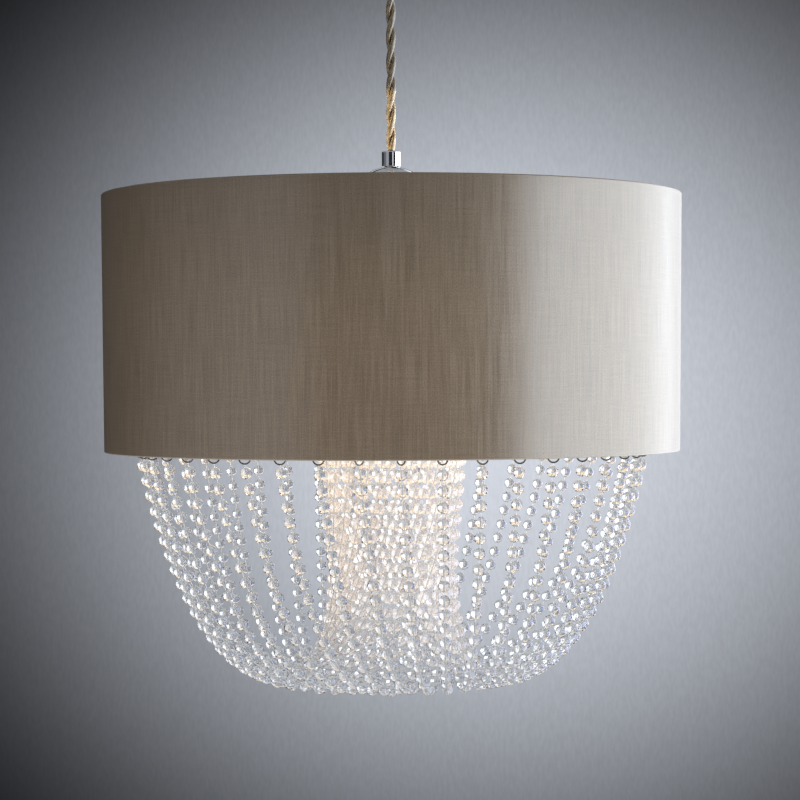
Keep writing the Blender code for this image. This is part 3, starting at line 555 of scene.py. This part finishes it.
def light_on_wall(made):
    """How bright the wall is at each point, as rays of each kind meet it.

    In the pool behind the drum it is exp(-dimming - r - fall r^2), with
    r = ((x - place) / size)^2 + ((z - place) / size)^2. Past the camera's frame it goes by the
    angle from +Y, in degrees: pale on the right, where the large soft box stands, and dim on the
    left. There a bare camera ray, a ray through the beads and one off the metal or the silk each
    meet a level of their own, and the wall's top is even for all but the last. The pool never
    looks darker than 0.28 through a bead, which bends rays far aside.
    """
    _, (x, y, z) = made.place()
    through, shine, bare = made.rays("Transmission", "Glossy", "Camera")
    across, down = (x - POOL_PLACE[0]) / POOL_SIZE[0], (z - POOL_PLACE[1]) / POOL_SIZE[1]
    r = across * across + down * down
    pool = (r * -1.0 - r * r * POOL_FALL - POOL_DIMMING).maths("EXPONENT").maths("MAXIMUM", through * 0.28)
    to_right = x.maths("ARCTAN2", y) * math.degrees(1)
    to_left = to_right * -1.0
    right = to_right.step(13.2 - shine * 6.0, 18.5 - shine * 7.0 + bare * 24.0)
    near_left, left, front = (to_left.step(*ends) for ends in ((13.0, 30.0), (64.0, 96.0), (108.0, 124.0)))
    by_glass = to_right.step(34.0, 60.0, -0.16, 0.26)
    by_mirror = to_right.step(38.0, 50.0, 0.95, 0.17) - z.step(1.2, 2.4, 0.0, 1.1)
    right_light = right * (0.78 + through * by_glass + shine * by_mirror)
    fall = z.step(-1.0, 0.8, 1.3, 0.38)
    dim = near_left * (1.0 - left) * (bare * 0.19 + 0.03) + left * (fall * 0.32 + front * 0.20 + bare * 0.10)
    left_light = dim + (near_left * to_left.step(45.0, 75.0, 0.30, 0.12) - dim) * through
    above = z.step(1.4, 3.4) * (1.0 - shine)
    streak = z.step(2.2, 2.5) * (1.0 - z.step(3.3, 3.6))
    light = (pool * (1.0 - right) * (1.0 - near_left) + right_light + left_light) * (1.0 - above)
    light = light + above * (0.24 + through * 0.26) + streak * shine * 0.75
    stipple = made.noise(made.point(x, y, z * 0.35), 90.0, 2.0).step(0.2, 0.8, 0.955, 1.045)
    return light * stipple


def backdrop():
    """A round grey wall, a pale floor, and three cards that only mirror rays meet."""
    turns = np.linspace(0, math.tau, ROOM_STEPS, endpoint=False)
    turn, height = np.meshgrid(turns, np.linspace(FLOOR_HEIGHT, WALL_TOP, 12))
    points = np.stack([WALL_RADIUS * np.cos(turn), WALL_RADIUS * np.sin(turn), height], 2)
    wall = grid_mesh("backdrop_wall", points, wrap_columns=True)
    wall.data.shade_smooth()
    made = Finish("backdrop_paint", (0, 0, 0), 1.0)
    colour = made.mix(light_on_wall(made) / WALL_STRENGTH, (0, 0, 0), WALL_COLOUR)
    emission = made.node("ShaderNodeEmission", {}, {"Color": colour, "Strength": WALL_STRENGTH})
    made.put(made.tree.nodes["Material Output"].inputs["Surface"], emission)
    wall.data.materials.append(made.material)
    wall.visible_diffuse = wall.visible_shadow = False
    turn, radius = np.meshgrid(turns, np.linspace(0.001, WALL_RADIUS, 12))
    points = np.stack([radius * np.cos(turn), radius * np.sin(turn), FLOOR_HEIGHT + 0 * turn], 2)
    floor = grid_mesh("floor", points, wrap_columns=True)
    paint = Finish("floor_paint", (0.80, 0.81, 0.83), 0.8)
    paint.glow((0.9, 0.95, 1.0), 0.34)
    floor.data.materials.append(paint.material)
    black = moulded("flag_cloth", (0.03, 0.03, 0.03), 0.9, 300.0)
    pale = Finish("card_paint", (0.03, 0.03, 0.03), 1.0)
    pale.glow((0.70, 0.74, 0.79), 1.0)
    curved_card("black_flag", 2.3, (-30, 46), (FLOOR_HEIGHT + 0.2, 1.0), black)
    curved_card("pale_card", 2.2, (14, 28), (0.0, 0.08), pale.material)
    curved_card("black_card", 1.2, (44, 54), (-0.09, -0.02), black)


def curved_card(name, radius, span, heights, material):
    """An upright card that only mirror rays meet, its span in degrees to the camera's right."""
    turn, up = np.meshgrid(np.radians(np.linspace(*span, 12)), np.linspace(*heights, 5))
    card = grid_mesh(name, np.stack([radius * np.sin(turn), -radius * np.cos(turn), up], 2))
    card.data.materials.append(material)
    card.visible_camera = card.visible_diffuse = card.visible_shadow = card.visible_transmission = False


def lamp(name, data, place, look_at, stretch=1.0):
    """Places a light that camera and glass rays pass by, turned to a point, stretched sideways."""
    light = bpy.data.objects.new(name, data)
    place, look_at = Matrix.Translation(place), Matrix.Translation(look_at)
    turn = (look_at.translation - place.translation).to_track_quat("-Z", "Y").to_matrix().to_4x4()
    light.matrix_world = place @ turn @ Matrix.Diagonal((stretch, 1, 1, 1))
    light.visible_camera = light.visible_transmission = False
    bpy.context.scene.collection.objects.link(light)
    return light


def soft_box(name, place, look_at, size, power, colour):
    """A rectangular soft light, which glossy surfaces show."""
    data = bpy.data.lights.new(name, "AREA")
    data.shape = "RECTANGLE"
    data.size, data.size_y = size
    data.energy, data.color = power, colour
    lamp(name, data, place, look_at)


def spot(name, place, look_at, half_angle, blend, power, colour, radius, stretch=1.0):
    """A spot light that glossy surfaces don't show, its half angle in degrees."""
    data = bpy.data.lights.new(name, "SPOT")
    data.spot_size, data.spot_blend = math.radians(2 * half_angle), blend
    data.energy, data.color, data.shadow_soft_size = power, colour, radius
    lamp(name, data, place, look_at, stretch).visible_glossy = False


def light_the_set():
    """Ambient light, the large soft box on the right, spots from the front and the back, and two
    small ones that stand at the shade's mouth for the lamp's light on the flex.

    The world gives camera and glass rays 0.24, mirror rays 0.34 and all others 0.09.
    """
    world = bpy.data.worlds.new("studio")
    world.use_nodes = True
    made, background = Nodes(world.node_tree), world.node_tree.nodes["Background"]
    bare, shine, through = made.rays("Camera", "Glossy", "Transmission")
    strength = bare.maths("MAXIMUM", through) * (0.24 - 0.09) + shine * (0.34 - 0.09) + 0.09
    made.put(background.inputs["Color"], (0.92, 0.96, 1.0))
    made.put(background.inputs["Strength"], strength)
    bpy.context.scene.world = world
    soft_box(
        "key_right", place=(1.45, 0.165, -0.30), look_at=(0, 0.165, -0.30), size=(2.87, 1.5),
        power=37.6, colour=(0.845, 0.93, 1.0),
    )
    spot(
        "fill_front", place=(-0.6, -2.08, -0.9), look_at=(0, 0, -0.353), half_angle=4.7, blend=1.0,
        power=98.0, colour=(1.0, 0.945, 0.87), radius=0.25, stretch=2.5,
    )
    spot(
        "fill_back", place=(0.0, 2.7, 0.1), look_at=(0, 0, -0.25), half_angle=16.0, blend=1.0,
        power=60.0, colour=(1.0, 0.96, 0.9), radius=0.25,
    )
    on_flex = {"look_at": (0, 0, -0.145), "half_angle": 8.6, "blend": 0.12, "radius": 0.002}
    spot("warm_on_flex", place=(-0.165, -0.04, -0.20), power=3.2, colour=(1.0, 0.82, 0.50), **on_flex)
    spot("pale_on_flex", place=(0.165, 0.0, -0.20), power=5.4, colour=(1.0, 0.95, 0.90), **on_flex)


# The light's pieces

def make_flex():
    """Two braided cores twisted round each other: each an oval section carried on a helix."""
    heights = np.linspace(FLEX_END, FLEX_TOP, 140)
    around = np.linspace(0, math.tau, 16, endpoint=False)
    half = FLEX_DIAMETER / 4
    width = CORE_WIDTH_SHARE * half
    plies = []
    for ply in range(FLEX_PLIES):
        turn = math.tau * ((heights - FLEX_END) / FLEX_LAY + ply / FLEX_PLIES + 0.1)[:, None]
        out = half + half * np.cos(around)[None]
        side = width * np.sin(around)[None]
        x = out * np.cos(turn) - side * np.sin(turn)
        y = out * np.sin(turn) + side * np.cos(turn)
        points = np.stack([x, y, heights[:, None] + 0 * x], 2)
        plies.append(grid_mesh(f"ply_{ply}", points, wrap_columns=True, cap_ends=True, uv_size=(5, 1)))
    flex = smooth(joined("twisted_flex", plies), 60)
    dress(flex, BRAID, "flex_drop", "braid", "flex")
    bend = lathe("flex_bend_cover", arc_points(0, BEND_CENTRE, FLEX_DIAMETER / 2 / MM, -90, 90, 24), 48)
    dress(bend, BRAID, "flex_link", "braid", "flex_bend")


def radius_at(height):
    """The shade's outer radius at a height, both in millimetres."""
    share = (height - SHADE_BOTTOM) / (SHADE_TOP - SHADE_BOTTOM)
    return SHADE_BOTTOM_RADIUS + (SHADE_TOP_RADIUS - SHADE_BOTTOM_RADIUS) * share


def make_shade():
    """Silk skin with turned edges and a lapped seam at the back, liner, wire rings and spider."""
    skin, roll, ease = FABRIC_THICKNESS, ROLLED_EDGE, 0.9
    low, high, foot, head = SHADE_BOTTOM, SHADE_TOP, SHADE_BOTTOM_RADIUS, SHADE_TOP_RADIUS
    outline = (
        [(foot - roll, low)] + arc_points(foot - ease, low + ease, ease, -90, 0, 7)
        + [(radius_at(z), z) for z in np.linspace(low + ease, high - ease, 24)[1:-1]]
        + arc_points(head - ease, high - ease, ease, 0, 90, 7)
        + [(head - roll, high), (head - roll, high - skin)]
        + [(radius_at(high - skin) - skin, high - skin), (radius_at(low + skin) - skin, low + skin)]
        + [(foot - roll, low + skin)]
    )
    edge = math.pi / 2 - LAP_TURN / 2
    even = np.linspace(0, math.tau, 288, endpoint=False)
    turn = np.sort(np.concatenate([even, [edge - 1e-4, edge + 1e-4]]))

    def lap(radius, height, turn):
        """The lapped ply stands proud of the skin and fades out past the lap."""
        past = np.clip((turn - edge) / (2 * LAP_TURN), 0, 1)
        outer = radius > radius_at(height) - skin / 2
        return LAP_RISE * (turn > edge) * (1 - past) ** 2 * outer

    fabric = lathe("shade_silk_skin", outline, turn=turn, rise=lap)
    dress(fabric, SILK, "pendant", "fabric", "shade_fabric")
    low, high, depth = low + skin + GAP, high - skin - GAP, skin + GAP
    inside = depth + LINER_THICKNESS
    sides = [(radius_at(z) - depth, z) for z in (low, high)]
    sides += [(radius_at(z) - inside, z) for z in (high, low)]
    dress(lathe("diffusing_liner", sides, 240), LINER_FILM, "pendant", "liner", "shade_liner")
    wire = SHADE_WIRE_RADIUS
    top_radius = radius_at(high - 2 * wire) - inside - GAP - wire
    foot_radius = radius_at(low) - inside - GAP - wire
    for name, radius, height in (
        ("shade_top_ring", top_radius, high - wire), ("shade_bottom_ring", foot_radius, low + wire)
    ):
        dress(wire_ring(name + "_wire", radius, wire, height), WHITE_WIRE, "pendant", "white_wire", name)
    rods = [plain_ring("fitter", RING_BORE, FITTER_RADIUS, FITTER_TOP - FITTER_THICKNESS, FITTER_TOP)]
    path = [(FITTER_RADIUS - 1.8, FITTER_TOP - FITTER_THICKNESS / 2), (top_radius - wire - 0.6, high - wire)]
    for angle in SPIDER_ANGLES:
        rods.append(rod("spider_rod", path, angle, SPIDER_ROD_RADIUS))
    dress(smooth(joined("spider", rods)), WHITE_WIRE, "pendant", "white_wire", "shade_spider")


def rod(name, path, angle, radius, sides=16):
    """A round rod in the upright plane at an angle, its path of (radius, height) in millimetres."""
    path = np.asarray(path, float)
    points = np.stack([path[:, 0] * math.cos(angle), path[:, 0] * math.sin(angle), path[:, 1]], 1) * MM
    return tube(name, points, radius * MM, (-math.sin(angle), math.cos(angle), 0), sides)


def make_canopy():
    """Canopy with two screw holes, and the outlet under it, which has a socket for the bend."""
    centre, middle = CANOPY_RADIUS - CANOPY_CORNER, CANOPY_BOTTOM + CANOPY_CORNER
    cup = lathe("ceiling_cup", (
        [(CANOPY_RADIUS, CANOPY_RIM)] + arc_points(centre, middle, CANOPY_CORNER, 0, -90, 14)
        + [(STEM_HOLE, CANOPY_BOTTOM), (STEM_HOLE, CANOPY_BOTTOM + CANOPY_WALL)]
        + arc_points(centre, middle, CANOPY_CORNER - CANOPY_WALL, -90, 0, 14)
        + [(CANOPY_RADIUS - CANOPY_WALL, CANOPY_RIM)]
    ), 144)
    for side in (-1, 1):
        start, end = side * (CANOPY_RADIUS - 10), side * (CANOPY_RADIUS + 5)
        cup = drilled(cup, (start, 0, CANOPY_SCREW_LEVEL), (end, 0, CANOPY_SCREW_LEVEL), CANOPY_SCREW_HOLE)
    dress(cup, CHROME, "ceiling_mount", "chrome", "canopy")
    edge, tail = OUTLET_RADIUS, OUTLET_TAIL_RADIUS
    outlet = lathe("outlet_turned", arc_points(0, BEND_CENTRE, BEND_SOCKET, 8.02, 37.75, 9) + [
        (OUTLET_BORE, OUTLET_TAIL_TOP), (tail, OUTLET_TAIL_TOP), (tail, OUTLET_SHOULDER),
        (edge - 0.2, OUTLET_SHOULDER), (edge, OUTLET_SHOULDER - 0.2), (edge, OUTLET_FACE + 1.0),
        (edge - 0.3, OUTLET_FACE + 0.3), (edge - 1.0, OUTLET_FACE),
    ], 64)
    dress(outlet, CHROME, "ceiling_mount", "chrome", "canopy_outlet")


def make_fitting():
    """Cord grip with its screw hole, and the dome over the lampholder."""
    edge, foot, top = GRIP_RADIUS, GRIP_BOTTOM, GRIP_TOP
    grip = lathe("grip_turned", [
        (STEM_HOLE, foot), (edge - 0.25, foot), (edge, foot + 0.25), (edge, foot + 0.5), (edge, top - 1.0),
        (edge, top - 0.75), (edge - 0.15, top - 0.3), (edge - 0.6, top), (GRIP_BORE + 0.3, top),
        (GRIP_BORE, top - 0.3), (GRIP_BORE, GRIP_SHOULDER), (STEM_HOLE, GRIP_SHOULDER),
    ], 96)
    level = GRIP_TOP - GRIP_SCREW_DROP
    grip = drilled(grip, (0, GRIP_BORE - 0.3, level), (0, 9.0, level), GRIP_SCREW_HOLE)
    dress(grip, CHROME, "pendant", "chrome", "cord_grip")
    inner = DOME_RADIUS - DOME_WALL
    over, under = (math.degrees(math.acos(STEM_HOLE / radius)) for radius in (DOME_RADIUS, inner))
    dome = lathe("dome_spun", (
        arc_points(0, DOME_CENTRE, DOME_RADIUS, 0, over, 28) + arc_points(0, DOME_CENTRE, inner, under, 0, 28)
    ), 128)
    dress(dome, CHROME, "pendant", "chrome", "dome_cap")


def make_bead_frame():
    """Hub, three bent arms with a drop rod each, and the two rings that carry the beads."""
    hub = plain_ring("hub_plate", RING_BORE, HUB_RADIUS, HUB_TOP - HUB_THICKNESS, HUB_TOP)
    dress(hub, CHROME, "pendant", "chrome", "frame_hub")
    outer, ring_foot = OUTER_RING_RADIUS / MM, OUTER_WIRE_HEIGHT / MM + BEAD_WIRE_RADIUS + GAP
    inner, rod_foot = INNER_RING_RADIUS / MM, INNER_WIRE_HEIGHT / MM + BEAD_WIRE_RADIUS + GAP
    start = [(HUB_RADIUS + GAP, ROD_LEVEL), (HUB_RADIUS + GAP + 0.6, ROD_LEVEL)]
    bend = arc_points(outer - ROD_BEND, ROD_LEVEL - ROD_BEND, ROD_BEND, 90, 0, 14)
    path = start + bend + [(outer, ring_foot + 0.6), (outer, ring_foot)]
    for number, angle in enumerate(ARM_ANGLES, 1):
        arm = rod("arm_rod", path, angle, ROD_RADIUS)
        drop = rod("drop_rod", [(inner, ROD_LEVEL), (inner, rod_foot)], angle, INNER_ROD_RADIUS)
        bead_arm = smooth(joined(f"bead_arm_{number}", [arm, drop]))
        dress(bead_arm, CHROME, "pendant", "chrome", f"frame_arm_{number}")
    for name, radius, height in (
        ("outer_bead_ring", outer, OUTER_WIRE_HEIGHT), ("inner_bead_ring", inner, INNER_WIRE_HEIGHT)
    ):
        ring = wire_ring(name + "_wire", radius, BEAD_WIRE_RADIUS, height / MM)
        dress(ring, CHROME, "pendant", "chrome", name)


def thread_line(radius, depth, pitch, top, bottom):
    """The outline of a screw thread from top to bottom: crests at the radius, roots a depth in."""
    count = int((top - bottom) / pitch)
    heights = np.linspace(top, bottom, 2 * count + 1)
    return [(radius - depth * (k % 2), z) for k, z in enumerate(heights)]


def make_lampholder():
    """Lampholder, the shade ring with its finger notches, and the bulb's cap."""
    edge, collar, seat = HOLDER_RADIUS, COLLAR_RADIUS, HOLDER_SEAT
    body = lathe("holder_body", (
        [(edge, HOLDER_TOP), (HOLDER_BORE, HOLDER_TOP), (HOLDER_BORE, HOLDER_BOTTOM)]
        + [(edge - 0.6, HOLDER_BOTTOM)]
        + thread_line(edge, 0.7, 2.4, seat - 0.6, HOLDER_BOTTOM + 0.5)[::-1]
        + [(edge, seat), (collar - 0.3, seat), (collar, seat + 0.3), (collar, seat + COLLAR_HEIGHT - 0.3)]
        + [(collar - 0.3, seat + COLLAR_HEIGHT), (edge, seat + COLLAR_HEIGHT)]
    ), 96)
    dress(body, HOLDER_PLASTIC, "pendant", "plastic", "lampholder_body")

    def notches(radius, height, turn):
        """Notches in the lip: their depth times ((1 - cos(count angle)) / 2)^3."""
        return -NOTCH_DEPTH * ((1 - np.cos(NOTCH_COUNT * turn)) / 2) ** 3 * (radius > RING_LIP_RADIUS - 0.6)

    edge, lip, low, under = RING_RADIUS, RING_LIP_RADIUS, RING_TOP - RING_HEIGHT, RING_TOP - RING_LIP_HEIGHT
    ring = lathe("shade_ring_notched", [
        (RING_BORE, low + 0.3), (RING_BORE + 0.3, low), (edge - 0.3, low), (edge, low + 0.3),
        (edge, under), (lip - 0.3, under), (lip, under + 0.3), (lip, RING_TOP - 0.3),
        (lip - 0.3, RING_TOP), (RING_BORE, RING_TOP),
    ], 192, rise=notches)
    dress(ring, HOLDER_PLASTIC, "clamp_ring", "plastic", "shade_ring")
    edge, top, foot, wall = BULB_CAP_RADIUS, BULB_CAP_TOP, BULB_CAP_TOP - BULB_CAP_LENGTH, BULB_CAP_WALL
    cap = lathe("bulb_cap_rolled", (
        [(0.0, top), (9.0, top), (edge - 0.8, top - 2.6)]
        + thread_line(edge, 0.8, 3.6, top - 3.4, foot + 3.0) + [(edge, foot + 2.4), (edge, foot)]
        + [(edge - wall, foot), (edge - wall, top - 3.6), (8.6, top - wall), (0.0, top - wall)]
    ), 64)
    dress(cap, BRASS, "lamp_bulb", "brass", "bulb_cap")


SILK, BRAID, CHROME = silk(), braid(), chrome()
STEEL = metal("plated_steel", (0.60, 0.60, 0.61), 0.22, 0.40)
BRASS = metal("brass_sheet", (0.72, 0.53, 0.26), 0.20, 0.36)
CORE_INSULATION = moulded("core_insulation", (0.40, 0.16, 0.07), 0.35)
WHITE_WIRE = moulded("white_coat", (0.80, 0.80, 0.77), 0.35)
HOLDER_PLASTIC = moulded("holder_plastic", (0.82, 0.81, 0.77), 0.30)
BLACK_PLASTIC = moulded("black_insulator", (0.03, 0.03, 0.03), 0.25)
LINER_FILM = lit_liner()
CRYSTAL, THREAD = bead_glass(), nylon()
LAMP, FILAMENT = frosted_lamp(), glowing_wire()
DARK_NICKEL = metal("antique_nickel", (0.22, 0.195, 0.165), 0.14, 0.30)


def hanging_lines(samples):
    """Every strand as a catenary: points (strands, samples, 3), lengths along it, plan normals
    and whole lengths.

    Height is foot + scale cosh((d - lowest) / scale) over the level distance d, where the scale
    solves sinh(u) / u = sqrt(length^2 - rise^2) / span, found by halving, with u = span / 2 scale.
    Round the waist the strands crowd, and neighbours lean along their normals to opposite sides.
    """
    angle = FIRST_HOOK_ANGLE + math.tau * np.arange(STRAND_COUNT) / STRAND_COUNT
    drop = JUMP_RING_DROP + JUMP_RING_RADIUS
    start = np.stack([OUTER_RING_RADIUS * np.cos(angle), OUTER_RING_RADIUS * np.sin(angle)], 1)
    far = angle + STRAND_TURN
    end = np.stack([INNER_RING_RADIUS * np.cos(far), INNER_RING_RADIUS * np.sin(far)], 1)
    rise = INNER_WIRE_HEIGHT - OUTER_WIRE_HEIGHT
    span = np.linalg.norm(end - start, axis=1)
    length = STRAND_LENGTH + RANDOM.uniform(*STRAND_SPARE, STRAND_COUNT) * MM
    stretch = np.sqrt(length**2 - rise**2) / span
    low, high = np.full(STRAND_COUNT, 1e-6), np.full(STRAND_COUNT, 10.0)
    for _ in range(60):
        u = (low + high) / 2
        short = np.sinh(u) / u < stretch
        low, high = np.where(short, u, low), np.where(short, high, u)
    scale = span / 2 / u
    lowest = span / 2 - scale * np.arctanh(rise / length)
    foot = OUTER_WIRE_HEIGHT - drop - scale * np.cosh(lowest / scale)
    arc_low = -scale * np.sinh(lowest / scale)
    arcs = length[:, None] * np.linspace(0, 1, samples)
    along = lowest[:, None] + scale[:, None] * np.arcsinh((arcs + arc_low[:, None]) / scale[:, None])
    height = foot[:, None] + scale[:, None] * np.cosh((along - lowest[:, None]) / scale[:, None])
    way = (end - start) / span[:, None]
    plan = start[:, None] + way[:, None] * along[:, :, None]
    normal = np.stack([-way[:, 1], way[:, 0], 0 * span], 1)
    points = np.concatenate([plan, height[:, :, None]], 2)
    ramp = lambda low, high: np.clip((arcs / MM - low) / (high - low), 0, 1)
    crowd = ramp(*CROWD_START) ** 2 * (3 - 2 * ramp(*CROWD_START)) * (1 - ramp(*CROWD_END))
    shift = np.where(np.arange(STRAND_COUNT) % 2, 1, -1)[:, None] * crowd * CROWD_LEAN * MM
    return points + normal[:, None] * shift[:, :, None], arcs, normal, length


def bead_shape():
    """A cut bead: rings of corners at given tilts, each turned half a step, and two flat ends.

    It gives the corners, the faces, and a normal for each face's corner that is part way from
    the face's own towards the ball's, so a facet's edges are soft.
    """
    corners, sides = [], BEAD_SIDES
    for number, tilt in enumerate(np.radians(BEAD_TILTS)):
        turn = math.tau * (np.arange(sides) + 0.5 * (number % 2)) / sides
        out, up = np.cos(tilt), np.sin(tilt)
        corners.append(np.stack([out * np.cos(turn), out * np.sin(turn), up + 0 * turn], 1))
    corners = np.concatenate(corners)
    faces = [tuple(range(sides))[::-1], tuple(range(3 * sides, 4 * sides))]
    for number in range(3):
        one, two, lead = sides * number, sides * (number + 1), number % 2
        for k in range(sides):
            a, b, c, d = one + k, one + (k + 1) % sides, two + k, two + (k + 1) % sides
            faces += [(a, b, d), (a, d, c)] if lead else [(a, b, c), (b, d, c)]
    normals = []
    for face in faces:
        ring = corners[list(face)]
        flat = np.cross(ring[1] - ring[0], ring[2] - ring[0])
        flat /= np.linalg.norm(flat)
        soft = flat * (1 - BEAD_SOFTNESS) + ring * BEAD_SOFTNESS
        normals.append(soft / np.linalg.norm(soft, axis=1, keepdims=True))
    return corners * BEAD_CORNER_RADIUS, faces, np.concatenate(normals)


def make_beads():
    """Beads at an even pitch on every strand, each turned at random, and its thread."""
    lines, arcs, normals, lengths = hanging_lines(400)
    base, faces, soft = bead_shape()
    faces = [np.array(face) for face in faces]
    tangent = np.gradient(lines, axis=1)
    tangent /= np.linalg.norm(tangent, axis=2, keepdims=True)
    for node in range(STRAND_COUNT // STRANDS_PER_NODE):
        centres, turns, threads = [], [], []
        for k in range(node * STRANDS_PER_NODE, (node + 1) * STRANDS_PER_NODE):
            lead = (lengths[k] - BEAD_PITCH * (BEADS_PER_STRAND - 1)) / 2
            slack = RANDOM.uniform(-0.3, 0.3, BEADS_PER_STRAND) * MM
            wanted = lead + BEAD_PITCH * np.arange(BEADS_PER_STRAND) + slack
            centre, way = (
                np.stack([np.interp(wanted, arcs[k], values[k, :, axis]) for axis in range(3)], 1)
                for values in (lines, tangent)
            )
            way /= np.linalg.norm(way, axis=1, keepdims=True)
            side = np.cross(normals[k], way)
            side /= np.linalg.norm(side, axis=1, keepdims=True)
            spin = RANDOM.uniform(0, math.tau, BEADS_PER_STRAND)[:, None]
            one = side * np.cos(spin) + np.cross(way, side) * np.sin(spin)
            turns.append(np.stack([one, np.cross(way, one), way], 2))
            centres.append(centre)
            threads.append(tube(f"thread_{k}", lines[k, ::5], THREAD_RADIUS, normals[k], 5))
        centres, turns = np.concatenate(centres), np.concatenate(turns)
        points = (np.einsum("nij,vj->nvi", turns, base) + centres[:, None]).reshape(-1, 3)
        starts = np.arange(len(centres)) * len(base)
        all_faces = [tuple(int(c) for c in face + start) for start in starts for face in faces]
        beads = mesh_object(f"beads_{node + 1:02d}", points, all_faces, weld=False)
        beads.data.shade_smooth()
        beads.data.normals_split_custom_set(np.einsum("nij,vj->nvi", turns, soft).reshape(-1, 3).tolist())
        dress(beads, CRYSTAL, "pendant", "beads", f"bead_strands_{node + 1:02d}")
        dress(joined(f"threads_{node + 1:02d}", threads), THREAD, "pendant", "beads")


def make_jump_rings():
    """The small ring at each end of every strand, a torus turned a little at random.

    Each hangs square to its wire, but on the outer ring's sides it turns at most 50 degrees.
    """
    rings = []
    hooks = FIRST_HOOK_ANGLE + math.tau * np.arange(STRAND_COUNT) / STRAND_COUNT
    around = np.linspace(0, math.tau, 17)[:-1]
    across = np.linspace(0, math.tau, 9)[:-1]
    out = (JUMP_RING_RADIUS + JUMP_WIRE_RADIUS * np.cos(across))[None]
    reach, lift = out * np.cos(around)[:, None], out * np.sin(around)[:, None]
    thick = JUMP_WIRE_RADIUS * np.sin(across)[None] + 0 * reach
    for radius, height in ((OUTER_RING_RADIUS, OUTER_WIRE_HEIGHT), (INNER_RING_RADIUS, INNER_WIRE_HEIGHT)):
        for angle in hooks:
            turn = (90 - math.degrees(angle)) % 180 - 90
            turn = min(max(turn, -JUMP_RING_TURN), JUMP_RING_TURN) + RANDOM.uniform(-8, 8)
            swing = angle + math.radians(turn)
            x = radius * math.cos(angle) + reach * math.cos(swing) - thick * math.sin(swing)
            y = radius * math.sin(angle) + reach * math.sin(swing) + thick * math.cos(swing)
            points = np.stack([x, y, height - JUMP_RING_DROP + lift], 2)
            rings.append(grid_mesh("ring", points, wrap_rows=True, wrap_columns=True))
    dress(smooth(joined("jump_rings", rings), 60), DARK_NICKEL, "pendant", "chrome")


def carry_over():
    """Better materials for the CAD nodes that keep their own shape."""
    by_slot = {
        "steel": STEEL, "chrome": CHROME, "white_wire": WHITE_WIRE, "brass": BRASS,
        "plastic": HOLDER_PLASTIC, "black": BLACK_PLASTIC, "core": CORE_INSULATION,
        "liner": LINER_FILM, "glass": LAMP, "filament": FILAMENT,
    }
    for part in frame["record"]["subparts"]:
        piece, material = frame["nodes"][part["node"]], by_slot.get(part["material_slot"])
        if material:
            piece.data.materials.clear()
            piece.data.materials.append(material)


set_camera()
make_flex()
make_shade()
make_canopy()
make_fitting()
make_bead_frame()
make_lampholder()
make_beads()
make_jump_rings()
carry_over()
backdrop()
light_the_set()
bpy.context.scene.view_settings.view_transform = "Standard"
bpy.context.scene.cycles.max_bounces = bpy.context.scene.cycles.transmission_bounces = 32
